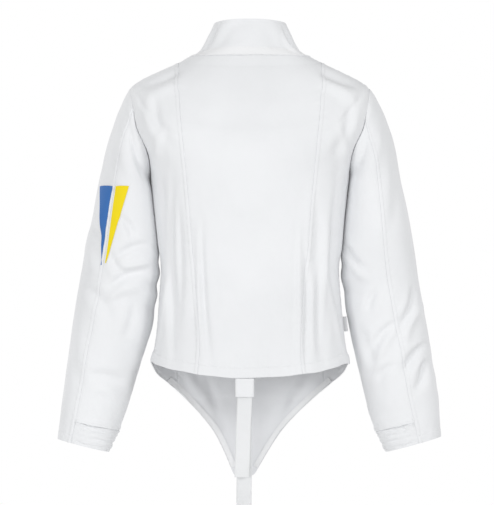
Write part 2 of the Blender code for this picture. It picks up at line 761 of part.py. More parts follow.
def make_slider(metal):
    frame = frame_on_collar()
    thick = SLIDER_SIZE[1]
    face = -SEAM_GAP - thick
    axis_y = face - PULL_AXIS_HEIGHT
    body_box = add_box("zip_slider", SLIDER_SIZE, (0, -SEAM_GAP - thick / 2, 0), metal, bevel=SLIDER_ROUNDING)
    bridge_wide, bridge_high = BRIDGE_SIZE
    bridge_deep = PULL_AXIS_HEIGHT + SLOT_RADIUS + BRIDGE_WALL + BRIDGE_ROOT
    bridge_centre = (0, face + BRIDGE_ROOT - bridge_deep / 2, 0)
    bridge_box = add_box("bridge", (bridge_wide, bridge_deep, bridge_high), bridge_centre, metal, CUTTERS)
    slot = add_bar("bridge_slot", SLOT_RADIUS, bridge_wide + CUTTER_EXTRA, (0, axis_y, 0), metal, CUTTERS)
    boolean(bridge_box, slot, "DIFFERENCE")
    boolean(body_box, bridge_box, "UNION")

    hinge = bpy.data.objects.new("pull_hinge", None)
    hinge.location = Vector((0, axis_y, 0)) * MM
    COLLECTION.objects.link(hinge)
    hinge.parent = frame
    pull = add_box("zip_pull", PULL_SIZE, (0, 0, -PULL_SIZE[2] / 2), metal, bevel=PULL_ROUNDING)
    hole = add_box("pull_hole", PULL_HOLE, (0, 0, -PULL_HOLE[2] / 2 - PULL_HOLE_DROP), metal, CUTTERS)
    eye = add_bar("pull_bar", PULL_BAR_RADIUS, PULL_SIZE[0] - PULL_BAR_INSET, (0, 0, 0), metal, CUTTERS)
    boolean(pull, hole, "DIFFERENCE")
    boolean(pull, eye, "UNION")
    for child in (body_box, bridge_box, slot):
        child.parent = frame
    for child in (pull, hole, eye):
        child.parent = hinge


# Crotch strap, its loop and the side label
def make_strap(material):
    """A flat strap from the tail's tip, under the body and up into the loop, folded back down outside."""
    columns = [[(i, stop[axis]) for i, stop in enumerate(STRAP_ROUTE)] for axis in range(3)]
    last = len(STRAP_ROUTE) - 1
    places = spread(0, last, STRAP_STEPS * last)
    centre = [Vector([smooth(column, place) for column in columns]) for place in places]
    layers = ([], [])
    for index, point in enumerate(centre):
        along = centre[min(index + 1, len(centre) - 1)] - centre[max(index - 1, 0)]
        outward = Vector((0, along.z, -along.y)).normalized()
        for layer, side in zip(layers, (1, -1)):
            middle = point + outward * side * STRAP_WALL / 2
            edge = Vector((STRAP_WIDTH / 2, 0, 0))
            layer.append([middle - edge, middle + edge])
    solid_between("crotch_strap", layers, material)


def make_strap_loop(material):
    """A flat tube under the back hem, with a tab that is sewn inside the hem."""
    made = bmesh.new()
    rings = []
    for height, inside, outside in (LOOP_TOP, LOOP_BOTTOM):
        for inset_by in (0.0, LOOP_WALL):
            half = LOOP_WIDTH / 2 - inset_by
            near, far = inside + inset_by, outside - inset_by
            corners = ((-half, near), (half, near), (half, far), (-half, far))
            rings.append([made.verts.new(Vector((LOOP_CENTRE_X + x, y, height)) * MM) for x, y in corners])
    top_outer, top_inner, low_outer, low_inner = rings
    corners = (top_outer, low_outer, low_inner, top_inner)
    for a, b in zip(corners, corners[1:] + corners[:1]):
        for i in range(4):
            j = (i + 1) % 4
            made.faces.new((a[i], a[j], b[j], b[i]))
    bmesh.ops.recalc_face_normals(made, faces=made.faces)
    mesh = bpy.data.meshes.new("strap_loop")
    made.to_mesh(mesh)
    made.free()
    loop = add_object("strap_loop", mesh, material)
    near, far = LOOP_TAB_Y
    tab_height = LOOP_TAB_TOP_Z - LOOP_TAB_FOOT_Z
    centre = (LOOP_CENTRE_X, (near + far) / 2, (LOOP_TAB_TOP_Z + LOOP_TAB_FOOT_Z) / 2)
    tab_size = (LOOP_WIDTH - LOOP_TAB_INSET, far - near, tab_height)
    tab = add_box("loop_tab", tab_size, centre, material, CUTTERS)
    boolean(loop, tab, "UNION")


def make_label(material):
    """A blank tab caught in the right side seam."""

    def lower(level):
        return body_plain(-1.0, level).z < LABEL_CENTRE_Z

    level = level_where(lower, HEM_LEVEL, UNDERARM_LEVEL)
    turn = radians(LABEL_TURN)
    outward = Vector((-cos(turn), sin(turn), 0))
    label = add_box("side_label", LABEL_SIZE, (0, 0, 0), material, bevel=LABEL_ROUNDING)
    low, high = body_at(-1.0, level - LABEL_REACH, 0), body_at(-1.0, level + LABEL_REACH, 0)
    lean = Matrix.Rotation(atan2(high.x - low.x, high.z - low.z), 3, "Y")
    label.rotation_euler = (lean @ Matrix.Rotation(-turn, 3, "Z")).to_euler()
    label.location = (body_at(-1.0, level, 0) + outward * (LABEL_SIZE[0] / 2 + LABEL_GAP)) * MM


def main():
    clear_scene()
    cloth_white = make_material("white_cloth", (0.86, 0.87, 0.88), 0.85)
    band_white = make_material("white_band", (0.9, 0.9, 0.9), 0.75)
    webbing = make_material("white_webbing", (0.84, 0.85, 0.86), 0.8)
    tape_white = make_material("white_tape", (0.88, 0.88, 0.88), 0.7)
    chain_white = make_material("white_zip_coil", (0.82, 0.82, 0.82), 0.5)
    zip_metal = make_material("zip_metal", (0.72, 0.72, 0.74), 0.3, 1.0)
    make_back(cloth_white)
    make_front(cloth_white)
    make_tail_hems(band_white)
    make_collar(cloth_white, band_white)
    for side in ARM_SIGN:
        make_sleeve(side, cloth_white)
    make_zip(tape_white, chain_white, zip_metal)
    make_strap(webbing)
    make_strap_loop(cloth_white)
    make_label(band_white)


main()
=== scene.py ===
"""The looks of the fencing jacket: fine cloth shells on the solids' own surfaces, seams, stitching and materials.

Lengths in the tables are in millimetres, and the scene is in metres.
The front faces -Y, the back +Y, the wearer's left is +X, and the origin is the middle of the neck base.
"""

from collections import namedtuple
from math import asin, pi, radians, sqrt

import bmesh
import bpy
import numpy as np
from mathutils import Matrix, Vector


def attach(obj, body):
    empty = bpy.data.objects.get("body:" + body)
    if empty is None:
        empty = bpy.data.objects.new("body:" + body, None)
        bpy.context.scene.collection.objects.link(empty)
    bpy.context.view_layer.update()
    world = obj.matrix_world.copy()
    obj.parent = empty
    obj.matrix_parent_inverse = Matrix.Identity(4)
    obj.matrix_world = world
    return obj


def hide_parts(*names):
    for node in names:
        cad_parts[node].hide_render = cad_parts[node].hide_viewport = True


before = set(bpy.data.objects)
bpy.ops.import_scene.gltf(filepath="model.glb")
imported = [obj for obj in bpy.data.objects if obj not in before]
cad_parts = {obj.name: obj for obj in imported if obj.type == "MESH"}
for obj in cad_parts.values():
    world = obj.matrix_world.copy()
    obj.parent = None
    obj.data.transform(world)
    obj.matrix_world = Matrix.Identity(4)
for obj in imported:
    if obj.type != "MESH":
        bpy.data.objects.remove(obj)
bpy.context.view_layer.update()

MM = 0.001
SEED = 7

# Surface tables, the same as the solids have
Ring = namedtuple("Ring", "level half_width back_y front_y side_z back_z front_z")
BODY_RINGS = (
    Ring(-4, 156, 92, -104, -672, -684, -684),
    Ring(-3, 159, 96, -114, -620, -632, -630),
    Ring(-2, 160, 98, -119, -571, -585, -581),
    Ring(-1, 160.5, 99, -121, -528, -548, -539),
    Ring(0, 160, 100, -121, -491, -514, -500),
    Ring(1, 155, 99, -119, -470, -490, -478),
    Ring(2, 151, 96, -117, -440, -455, -445),
    Ring(3, 146.5, 92, -114, -392, -400, -394),
    Ring(4, 143, 90, -112, -346, -346, -346),
    Ring(5, 145, 93, -114, -312, -308, -312),
    Ring(6, 152, 101, -120, -243, -238, -243),
    Ring(7, 160, 106, -122, -184, -190, -190),
    Ring(8, 176, 108, -121, -150, -165, -168),
    Ring(9, 196, 107, -118, -112, -142, -150),
    Ring(10, 199, 104, -112, -78, -125, -138),
    Ring(11, 193, 98, -104, -53, -108, -124),
    Ring(12, 177, 91, -97, -40, -82, -104),
    Ring(13, 150, 80, -88, -28, -52, -82),
    Ring(14, 120, 68, -78, -14, -24, -62),
    Ring(15, 98, 58, -69, -2, -1, -46),
)
BODY_SQUARENESS = 2.5
HEM_LEVEL = 0
NECK_LEVEL = 15
TAIL_END_LEVEL = -4
TAIL_SWAY = 10
COLLAR_RINGS = (
    Ring(0, 97.4, 57.9, -68.9, -1.4, -0.4, -45.4),
    Ring(1, 84, 56, -67.5, 4, 10, -35),
    Ring(2, 74, 53, -65, 17, 22, -21),
    Ring(3, 65.5, 49, -61.5, 35, 41, -2),
    Ring(4, 60, 46.5, -59, 47, 52, 10),
    Ring(5, 57, 45.5, -57.5, 53, 58, 15),
)
COLLAR_SQUARENESS = BODY_SQUARENESS
COLLAR_TOP_LEVEL = 5
NECK_BAND_LEVELS = (0.15, 0.5, 0.85, 1.25)
NECK_BAND_START = 0.0  # nearer to the neck seam than the solid's
COLLAR_START = -0.05  # the collar runs in under the body's edge
UNDERARM_LEVEL = 7
SHOULDER_TIP_LEVEL = 11
ARMHOLE_REACH = 0.28
Seam = namedtuple("Seam", "level x")
BACK_SEAM = (
    Seam(0, 83),
    Seam(1, 81),
    Seam(2, 80),
    Seam(3, 84),
    Seam(4, 88),
    Seam(5, 92),
    Seam(6, 97),
    Seam(7, 102),
    Seam(9, 107),
    Seam(11, 111),
    Seam(13, 114),
    Seam(15, 115),
)
BACK_SEAM_SHOULDER_X = 115
FRONT_SEAM = (
    Seam(-1, 121),
    Seam(0, 120),
    Seam(2, 114),
    Seam(4, 112),
    Seam(6, 126),
    Seam(7, 141),
    Seam(7.8, 163.2),
)
FRONT_SEAM_TOP_LEVEL = 7.74
FRONT_SEAM_ARMHOLE_ANGLE = 126
Edge = namedtuple("Edge", "x z")
TAIL_EDGE = (
    Edge(0, -681),
    Edge(16, -680),
    Edge(24.6, -664),
    Edge(37, -640),
    Edge(54, -611),
    Edge(76, -584),
    Edge(99, -560),
    Edge(117, -543),
    Edge(132, -530),
    Edge(152, -511),
    Edge(161, -492),
)
FRONT_JOIN_LEVEL = 0.25
Section = namedtuple("Section", "left_outer left_inner right_outer right_inner half_depth y")
SLEEVE_SECTIONS = (
    Section((211, -88), (159.2, -197), (211, -82), (159.4, -194), 60, -2),
    Section((219, -109), (157.2, -210), (221, -106), (157.4, -208), 62, -3),
    Section((232, -150), (154.7, -229), (234, -146), (155.1, -226), 63, -4),
    Section((246, -218), (150.2, -267), (246, -210), (151.2, -258), 63, -5),
    Section((256, -267), (146.5, -306), (258, -270), (146.8, -304), 60, -6),
    Section((267, -320), (145.2, -344), (265, -312), (145.3, -340), 56, -8),
    Section((275, -363), (148, -387), (272, -360), (150, -383), 53, -10),
    Section((284, -416), (158, -438), (283, -421), (161, -442), 50, -13),
    Section((292, -474), (177, -494), (293, -475), (174, -498), 47, -16),
    Section((299.5, -525), (191, -544), (301, -533), (186, -550), 43, -19),
    Section((305, -562), (203, -581), (305, -558), (195, -584), 39, -21),
    Section((311, -617), (228, -638), (309, -613), (219, -638), 34, -23),
)
CUFF_END = len(SLEEVE_SECTIONS)
TUCK_ROW = 11.4
ARMHOLE_CLEARANCE = 0.3
SLEEVE_BACK_SEAM = {"left": 63, "right": 80}
SLEEVE_FRONT_SEAM = 250
Fold = namedtuple("Fold", "across along width length slant height")
BODY_FOLDS = (
    Fold(0.60, 2.6, 0.045, 1.9, 0.010, -3.2),
    Fold(0.72, 3.0, 0.050, 1.7, -0.015, 3.0),
    Fold(-0.58, 2.8, 0.045, 1.8, -0.010, -3.0),
    Fold(-0.70, 2.6, 0.050, 2.0, 0.015, 3.2),
    Fold(1.30, 2.7, 0.060, 1.9, 0.005, -2.8),
    Fold(-1.32, 3.1, 0.060, 1.8, -0.005, -2.8),
    Fold(0.62, 10.4, 0.060, 1.2, 0.050, -2.6),
    Fold(-0.62, 10.6, 0.060, 1.2, -0.050, -2.8),
    Fold(1.42, 9.6, 0.070, 1.3, -0.060, -3.0),
    Fold(-1.40, 9.4, 0.070, 1.3, 0.060, -2.8),
)
SLEEVE_FOLDS = {
    "left": (
        Fold(165, 6.6, 60, 0.28, 0.004, -4.6),
        Fold(150, 7.35, 55, 0.30, -0.005, -3.8),
        Fold(205, 5.7, 50, 0.30, 0.004, -3.4),
        Fold(35, 9.0, 30, 0.60, 0.020, 3.0),
        Fold(110, 9.9, 34, 0.45, 0.020, -3.2),
    ),
    "right": (
        Fold(150, 6.9, 60, 0.30, -0.004, -4.0),
        Fold(60, 8.1, 40, 0.36, 0.012, -3.6),
        Fold(48, 9.3, 38, 0.36, 0.012, -3.8),
        Fold(205, 5.9, 50, 0.30, 0.004, -3.2),
        Fold(110, 9.8, 36, 0.45, 0.016, -3.0),
    ),
}
ZIP_OPENING = 6.4
ZIP_COLLAR_END = 4.7
SLIDER_LEVEL = 4.0
STRAP_WIDTH = 23.5
STRAP_WALL = 1.5
Stop = namedtuple("Stop", "x y z")
STRAP_ROUTE = (
    Stop(10.0, -113.6, -644),
    Stop(10.0, -110.4, -663),
    Stop(10.0, -106.4, -682),
    Stop(10.0, -98.0, -713),
    Stop(9.8, -74.0, -754),
    Stop(9.6, -36.0, -781),
    Stop(9.4, 8.0, -788),
    Stop(9.4, 50.0, -770),
    Stop(9.4, 79.0, -726),
    Stop(9.4, 91.0, -674),
    Stop(9.3, 94.6, -610),
    Stop(9.0, 95.6, -550),
    Stop(9.0, 96.9, -530),
    Stop(9.0, 97.4, -527),
    Stop(9.0, 98.9, -525.4),
    Stop(9.0, 100.4, -527),
    Stop(9.0, 100.85, -530),
    Stop(9.1, 101.3, -550),
    Stop(10.6, 101.4, -610),
    Stop(12.4, 99.6, -672),
)

# Fine cloth
CLOTH_WALL = 1.4
MESH_STEP = 3.2
PANEL_INSET = 0.06

# Creases, listed one by one: from a start to an end, bowed to one side, with a width and a height in millimetres
Crease = namedtuple("Crease", "start end bow width height")
CREASE_DEPTH = 1.6  # how many times their listed heights the creases stand
# On the back, as (x, z)
BACK_CREASES = (
    Crease((76, -290), (60, -502), 5, 5, -2.6),
    Crease((83, -300), (79, -462), -1, 4, 1.3),
    Crease((124, -222), (117, -452), 4, 6, -3.2),
    Crease((113, -250), (112, -430), -3, 5, -2.4),
    Crease((134, -262), (138, -486), -4, 7, 1.9),
    Crease((142, -196), (138, -392), -5, 6, -1.8),
    Crease((-79, -286), (-80, -490), 2, 4, 1.6),
    Crease((-88, -322), (-88, -500), -3, 5, -2.8),
    Crease((-112, -344), (-113, -496), 4, 6, -3.0),
    Crease((-106, -228), (-100, -372), -4, 8, -2.0),
    Crease((-124, -255), (-128, -470), 4, 7, 1.8),
    Crease((-138, -205), (-131, -440), 4, 6, -2.2),
    Crease((-112, -26), (-182, -48), 4, 8, -3.6),
    Crease((-118, -46), (-174, -84), -6, 9, 1.9),
    Crease((112, -26), (182, -48), -4, 8, -3.4),
    Crease((116, -48), (170, -80), 6, 9, 1.6),
    Crease((152, -66), (124, -152), 8, 8, -2.2),
    Crease((170, -84), (142, -140), 5, 7, 1.2),
    Crease((-160, -80), (-126, -172), -9, 8, -2.4),
    Crease((-172, -92), (-150, -138), -4, 7, 1.1),
    Crease((140, -120), (150, -200), 5, 7, 1.8),
    Crease((-145, -118), (-150, -208), -5, 7, 2.0),
    Crease((40, -230), (-20, -300), 10, 22, -0.9),
    Crease((-50, -260), (30, -420), 14, 24, 0.9),
    Crease((60, -330), (20, -460), -8, 18, -0.8),
    Crease((-30, -120), (52, -186), -8, 26, 0.8),
    Crease((-64, -150), (-20, -240), 9, 20, -0.7),
)
# On the front, as (x, z)
FRONT_CREASES = (
    Crease((126, -230), (118, -450), 5, 8, -3.0),
    Crease((-122, -250), (-120, -460), -4, 7, -3.2),
    Crease((96, -260), (84, -470), -5, 7, 1.9),
    Crease((-92, -240), (-88, -455), 5, 8, 1.8),
    Crease((104, -300), (96, -486), 4, 6, -2.0),
    Crease((-103, -280), (-98, -440), -4, 6, -1.8),
    Crease((150, -120), (92, -205), 12, 9, -2.8),
    Crease((-148, -118), (-88, -215), -13, 9, -3.0),
    Crease((134, -140), (100, -230), 8, 8, 1.6),
    Crease((-136, -142), (-98, -226), -8, 8, 1.5),
    Crease((120, -92), (60, -140), 8, 10, -2.0),
    Crease((-124, -96), (-56, -150), -9, 10, -1.9),
    Crease((118, -40), (176, -58), -4, 8, -2.6),
    Crease((-116, -42), (-178, -62), 5, 8, -2.8),
    Crease((44, -200), (30, -420), 6, 12, 1.2),
    Crease((-38, -210), (-34, -400), -6, 12, 1.3),
    Crease((26, -250), (20, -330), 3, 8, -1.2),
    Crease((-24, -280), (-20, -380), -3, 8, -1.2),
    Crease((110, -500), (40, -590), 8, 10, -2.2),
    Crease((-104, -505), (-34, -600), -8, 10, -2.1),
    Crease((70, -520), (24, -640), 5, 9, 1.6),
    Crease((-66, -530), (-22, -636), -6, 9, 1.5),
)
# On the back of the sleeves, as (x, z)
SLEEVE_BACK_CREASES = {
    "left": (
        Crease((192, -108), (155, -212), 7, 6, -3.4),
        Crease((208, -116), (184, -208), 6, 8, 1.7),
        Crease((232, -142), (214, -236), 8, 9, -1.8),
        Crease((206, -258), (184, -300), -4, 6, -3.2),
        Crease((222, -318), (196, -354), 5, 6, -3.0),
        Crease((214, -324), (154, -304), -6, 6, -3.8),
        Crease((206, -338), (152, -326), 4, 6, 2.4),
        Crease((222, -368), (156, -346), -6, 7, -4.0),
        Crease((228, -392), (170, -372), -6, 7, 2.2),
        Crease((256, -246), (234, -300), 5, 7, -3.0),
        Crease((262, -292), (246, -352), 4, 8, 1.8),
        Crease((264, -372), (222, -432), -9, 10, -2.4),
        Crease((186, -398), (206, -462), -5, 8, -2.0),
        Crease((258, -512), (194, -530), -5, 9, -2.6),
        Crease((250, -536), (206, -548), -3, 8, 1.5),
        Crease((286, -440), (270, -540), 6, 10, -1.8),
    ),
    "right": (
        Crease((-186, -104), (-160, -205), -7, 7, -2.6),
        Crease((-208, -112), (-186, -200), -6, 8, 1.4),
        Crease((-232, -140), (-222, -300), -8, 9, -1.8),
        Crease((-153, -302), (-178, -342), 4, 5, -3.2),
        Crease((-160, -326), (-190, -362), 4, 6, 1.8),
        Crease((-202, -374), (-188, -412), 3, 6, -2.8),
        Crease((-231, -428), (-195, -478), 6, 6, -3.0),
        Crease((-238, -440), (-206, -494), 6, 6, 1.6),
        Crease((-262, -374), (-244, -434), -5, 6, -3.6),
        Crease((-276, -404), (-247, -476), 7, 7, 2.6),
        Crease((-284, -462), (-249, -508), 6, 6, -4.6),
        Crease((-290, -480), (-256, -524), 6, 6, 2.2),
        Crease((-282, -490), (-264, -543), -5, 6, -3.4),
        Crease((-228, -496), (-204, -524), 4, 6, -2.6),
        Crease((-178, -440), (-196, -520), -5, 8, -1.8),
    ),
}
# On the front of the sleeves, as (degrees from the outer edge, 50 mm steps down)
ROW_LENGTH = 50
SLEEVE_FRONT_CREASES = {
    "left": (
        Crease((250, 230), (200, 330), 8, 8, -3.4),
        Crease((290, 200), (214, 300), -10, 8, -3.0),
        Crease((262, 262), (206, 352), 8, 7, 2.0),
        Crease((300, 330), (230, 420), 9, 9, -2.9),
        Crease((330, 90), (280, 200), 9, 10, -2.2),
        Crease((262, 420), (300, 540), -8, 9, 2.1),
        Crease((210, 60), (250, 150), 8, 8, -2.7),
        Crease((308, 400), (286, 520), 6, 8, -2.2),
    ),
    "right": (
        Crease((250, 220), (204, 322), 8, 8, -3.1),
        Crease((296, 240), (222, 330), -9, 8, -3.3),
        Crease((266, 270), (210, 350), 8, 7, 2.0),
        Crease((320, 330), (240, 410), 10, 9, -2.8),
        Crease((326, 80), (286, 210), -8, 10, -2.3),
        Crease((258, 430), (292, 545), 8, 9, 2.0),
        Crease((208, 64), (246, 160), 8, 8, -2.6),
        Crease((300, 420), (322, 530), -6, 8, -2.0),
    ),
}
# On the collar, as (degrees round, from the centre back towards the wearer's left, and millimetres up from the seam)
COLLAR_CREASES = (
    Crease((63, 6), (57, 54), 3, 5, -2.2),
    Crease((70, 10), (66, 44), -3, 5, 1.4),
    Crease((-56, 40), (-78, 8), 4, 6, -3.0),
    Crease((-46, 34), (-62, 8), 4, 6, 1.6),
    Crease((22, 12), (-16, 44), 5, 11, 1.2),
    Crease((36, 18), (4, 52), -4, 8, -1.0),
    Crease((-30, 10), (-8, 40), 5, 9, -0.9),
    Crease((128, 6), (112, 46), -5, 7, -1.6),
    Crease((-126, 8), (-108, 44), 5, 7, -1.6),
)

# Fullness that closes the sides of the body against the sleeves
SIDE_FULLNESS_PLACE = 0.92  # round the body, just behind the side seam
SIDE_FULLNESS_WIDTH = 0.055
SIDE_FULLNESS = 2.7
SIDE_FULLNESS_LEVELS = (4.2, 5.3, 6.6, 7.1)

# Edges of the cloth panels: how deep they turn in at a seam, where their stitches run, and how much the hem is raised
Finish = namedtuple("Finish", "turn stitch_at raised pucker")
SEAM = Finish(0.42, None, 0.0, 0.3)
TOPSTITCHED = Finish(0.42, 6.2, 0.6, 0.3)
BACK_HEM = Finish(0.25, 16.0, 0.9, 0.25)
TAIL_EDGE_HEM = Finish(0.25, 8.0, 0.7, 0.3)
ARMHOLE = Finish(0.4, None, 0.0, 0.2)
SHALLOW = Finish(0.15, None, 0.0, 0.2)
ZIP_EDGE = Finish(0.3, 5.0, 0.45, 0.2)
COLLAR_EDGE = Finish(0.3, 4.0, 0.35, 0.12)
CUFF_EDGE = Finish(0.25, 13.0, 0.4, 0.3)
HIDDEN = Finish(0.0, None, 0.0, 0.0)


def clip(values, low=0.0, high=1.0):
    return np.minimum(np.maximum(values, low), high)


def smooth(pairs, where):
    """A smooth curve through (place, value) pairs, level at neither end, for many places at once."""
    places, values = np.array(pairs, float).T
    where = np.asarray(where, float)
    last = len(places) - 1
    index = np.clip(np.searchsorted(places, where) - 1, 0, last - 1)
    before, after = np.maximum(index - 1, 0), np.minimum(index + 2, last)
    x0, x1, y0, y1 = places[index], places[index + 1], values[index], values[index + 1]
    slope_in = (y1 - values[before]) / (x1 - places[before])
    slope_out = (values[after] - y0) / (places[after] - x0)
    span = x1 - x0
    t = (where - x0) / span
    return (
        y0 * (1 + 2 * t) * (1 - t) ** 2
        + y1 * t * t * (3 - 2 * t)
        + slope_in * span * t * (1 - t) ** 2
        - slope_out * span * t * t * (1 - t)
    )


def columns_of(rings):
    return {field: [(r.level, getattr(r, field)) for r in rings] for field in Ring._fields[1:]}


BODY_COLUMNS = columns_of(BODY_RINGS)
COLLAR_COLUMNS = columns_of(COLLAR_RINGS)
BACK_SEAM_COLUMN = [(seam.level, seam.x) for seam in BACK_SEAM]
FRONT_SEAM_COLUMN = [(seam.level, seam.x) for seam in FRONT_SEAM]
TAIL_EDGE_COLUMN = [(edge.x, edge.z) for edge in TAIL_EDGE]


def ring_point(columns, squareness, across, level):
    """Points of a ring: across is 0 at the centre back, 1 at the wearer's left side and 2 at the centre front."""
    across, level = np.broadcast_arrays((np.asarray(across, float) + 2) % 4 - 2, np.asarray(level, float))
    angle = np.abs(across) * pi / 2
    power = 2 / squareness
    back = np.abs(across) <= 1
    depth = np.where(back, smooth(columns["back_y"], level), smooth(columns["front_y"], level))
    middle_z = np.where(back, smooth(columns["back_z"], level), smooth(columns["front_z"], level))
    side_z = smooth(columns["side_z"], level)
    x = np.sign(across) * smooth(columns["half_width"], level) * np.maximum(np.sin(angle), 0) ** power
    y = depth * np.abs(np.cos(angle)) ** power
    return np.stack([x, y, side_z + (middle_z - side_z) * np.cos(angle) ** 2], -1)


def fold_height(folds, turn, across, along):
    total = 0.0
    for fold in folds:
        offset = across - fold.across - fold.slant * turn * (along - fold.along)
        offset = ((offset + turn / 2) % turn - turn / 2) / fold.width
        distance = (along - fold.along) / fold.length
        total = total + fold.height * np.exp(-offset * offset - distance * distance)
    return total


def crease_height(creases, u, v, turn=None):
    """The height of soft creases at places (u, v), where u comes round again after a turn."""
    total = np.zeros(np.broadcast(u, v).shape)
    for crease in creases:
        du, dv = crease.end[0] - crease.start[0], crease.end[1] - crease.start[1]
        length = sqrt(du * du + dv * dv)
        from_u = u - crease.start[0]
        if turn:
            from_u = (from_u - du / 2 + turn / 2) % turn - turn / 2 + du / 2
        from_v = v - crease.start[1]
        along = (from_u * du + from_v * dv) / length / length
        beside = (from_v * du - from_u * dv) / length - crease.bow * 4 * along * (1 - along)
        width = crease.width * (0.8 + 0.45 * clip(along))
        q = beside / width
        profile = np.exp(-q * q) - 0.32 * np.exp(-(((q - 1.8) / 1.2) ** 2)) - 0.2 * np.exp(-(((q + 2.0) / 1.3) ** 2))
        taper = np.exp(-np.abs((along - 0.46) / 0.44) ** 3)
        total += crease.height * profile * taper
    return total * CREASE_DEPTH


Waves = namedtuple("Waves", "count shortest longest height")
SLOW_WAVES = Waves(9, 48, 150, 0.5)
FINE_WAVES = Waves(14, 15, 40, 0.21)


def soft_waves(points, seed):
    """Unevenness of hanging cloth, as sums of seeded waves through space, the finer ones in drifting patches."""
    random = np.random.default_rng(seed)
    totals = []
    for waves in (SLOW_WAVES, FINE_WAVES):
        total = np.zeros(points.shape[:-1])
        for _ in range(waves.count):
            way = random.normal(size=3) * (1.6, 1.0, 0.7)
            way /= np.linalg.norm(way)
            wavelength, phase = random.uniform(waves.shortest, waves.longest), random.uniform(0, 2 * pi)
            total += np.sin(points @ way * 2 * pi / wavelength + phase)
        totals.append(total * waves.height / sqrt(waves.count))
    slow, fine = totals
    return slow + fine * clip(0.55 + slow)


def normal_of(surface, across, along, steps):
    step_across, step_along = steps
    round_it = surface(across + step_across, along) - surface(across - step_across, along)
    up_it = surface(across, along + step_along) - surface(across, along - step_along)
    normal = np.cross(up_it, round_it)
    return normal / np.maximum(np.linalg.norm(normal, axis=-1, keepdims=True), 1e-9)


RING_STEPS = (0.01, 0.02)


def body_plain(across, level):
    points = ring_point(BODY_COLUMNS, BODY_SQUARENESS, across, level).copy()
    points[..., 0] += np.where(level < HEM_LEVEL, TAIL_SWAY * (level / TAIL_END_LEVEL) ** 2, 0.0)
    return points


def body(across, level):
    plain = body_plain(across, level)
    turn = np.abs((across + 2) % 4 - 2)
    on_back = clip((1.12 - turn) / 0.22)
    on_front = clip((turn - 0.9) / 0.22)
    height = fold_height(BODY_FOLDS, 4, across, level)
    height = height + on_back * crease_height(BACK_CREASES, plain[..., 0], plain[..., 2])
    height = height + on_front * crease_height(FRONT_CREASES, plain[..., 0], plain[..., 2])
    height = height + side_fullness(turn, level) + soft_waves(plain, SEED)
    return plain + normal_of(body_plain, across, level, RING_STEPS) * height[..., None]


def side_fullness(turn, level):
    """A soft roll beside each underarm, which meets the sleeve."""
    from_place = (turn - SIDE_FULLNESS_PLACE) / SIDE_FULLNESS_WIDTH
    low, lower, upper, high = SIDE_FULLNESS_LEVELS
    fade = clip((level - low) / (lower - low)) * clip((high - level) / (high - upper))
    return SIDE_FULLNESS * np.exp(-from_place * from_place) * fade * fade * (3 - 2 * fade)


def collar_plain(across, level):
    return ring_point(COLLAR_COLUMNS, COLLAR_SQUARENESS, across, level)


def collar(across, level):
    plain = collar_plain(across, level)
    degrees = ((np.asarray(across, float) + 2) % 4 - 2) * 90
    height = crease_height(COLLAR_CREASES, degrees, level * 12.0) + 0.5 * soft_waves(plain, SEED + 1)
    return plain + normal_of(collar_plain, across, level, RING_STEPS) * height[..., None]


def across_at(level, x, front=False, columns=BODY_COLUMNS, squareness=BODY_SQUARENESS):
    part = min(x / float(smooth(columns["half_width"], level)), 1.0) ** (squareness / 2)
    place = asin(part) / (pi / 2)
    return 2 - place if front else place


def armhole(angle):
    """A point of the armhole loop, as (across, level): 0 is the shoulder tip, 90 the back and 180 the underarm."""
    middle = (UNDERARM_LEVEL + SHOULDER_TIP_LEVEL) / 2
    half = (SHOULDER_TIP_LEVEL - UNDERARM_LEVEL) / 2
    return 1 - ARMHOLE_REACH * np.sin(np.radians(angle)), middle + half * np.cos(np.radians(angle))


def level_where(below, low, high):
    """The level between low and high where a test stops holding, found by halving."""
    for _ in range(30):
        middle = (low + high) / 2
        if below(middle):
            low = middle
        else:
            high = middle
    return (low + high) / 2


def spread(start, end, count):
    return [start + (end - start) * i / count for i in range(count + 1)]


def finer(values, count):
    """Each step between the values cut into count equal ones."""
    fine = [values[0]]
    for a, b in zip(values, values[1:]):
        fine += spread(a, b, count)[1:]
    return fine


ARM_SIGN = {"left": 1, "right": -1}
ARM_STEPS = (2.0, 0.03)


def arm_plain(side, angle, row):
    """A sleeve's plain surface, from the armhole at row 0 through its sections to the cuff's edge."""
    sign = ARM_SIGN[side]
    angle, row = np.broadcast_arrays(np.asarray(angle, float), np.asarray(row, float))
    across, level = armhole(angle)
    start = body_start(sign * across, level)
    start[..., 0] += sign * ARMHOLE_CLEARANCE
    reach = np.cos(np.radians(angle))
    lines = [start]
    for section in SLEEVE_SECTIONS:
        outer, inner = getattr(section, side + "_outer"), getattr(section, side + "_inner")
        x = (outer[0] + inner[0]) / 2 + (outer[0] - inner[0]) / 2 * reach
        z = (outer[1] + inner[1]) / 2 + (outer[1] - inner[1]) / 2 * reach
        y = section.y + section.half_depth * np.sin(np.radians(angle))
        lines.append(np.stack([sign * x, y, z], -1))
    lines = np.stack(lines)
    last = len(lines) - 1
    index = np.clip(np.ceil(row).astype(int) - 1, 0, last - 1)
    before, after = np.maximum(index - 1, 0), np.minimum(index + 2, last)

    def line(at):
        return np.take_along_axis(lines, at[None, ..., None], 0)[0]

    y0, y1 = line(index), line(index + 1)
    slope_in = (y1 - line(before)) / (index + 1 - before)[..., None]
    slope_out = (line(after) - y0) / (after - index)[..., None]
    t = (row - index)[..., None]
    return (
        y0 * (1 + 2 * t) * (1 - t) ** 2
        + y1 * t * t * (3 - 2 * t)
        + slope_in * t * (1 - t) ** 2
        - slope_out * t * t * (1 - t)
    )


def body_start(across, level):
    """Where a sleeve starts: the solids' own surface, folds and all."""
    height = fold_height(BODY_FOLDS, 4, across, level)
    return body_plain(across, level) + normal_of(body_plain, across, level, RING_STEPS) * height[..., None]


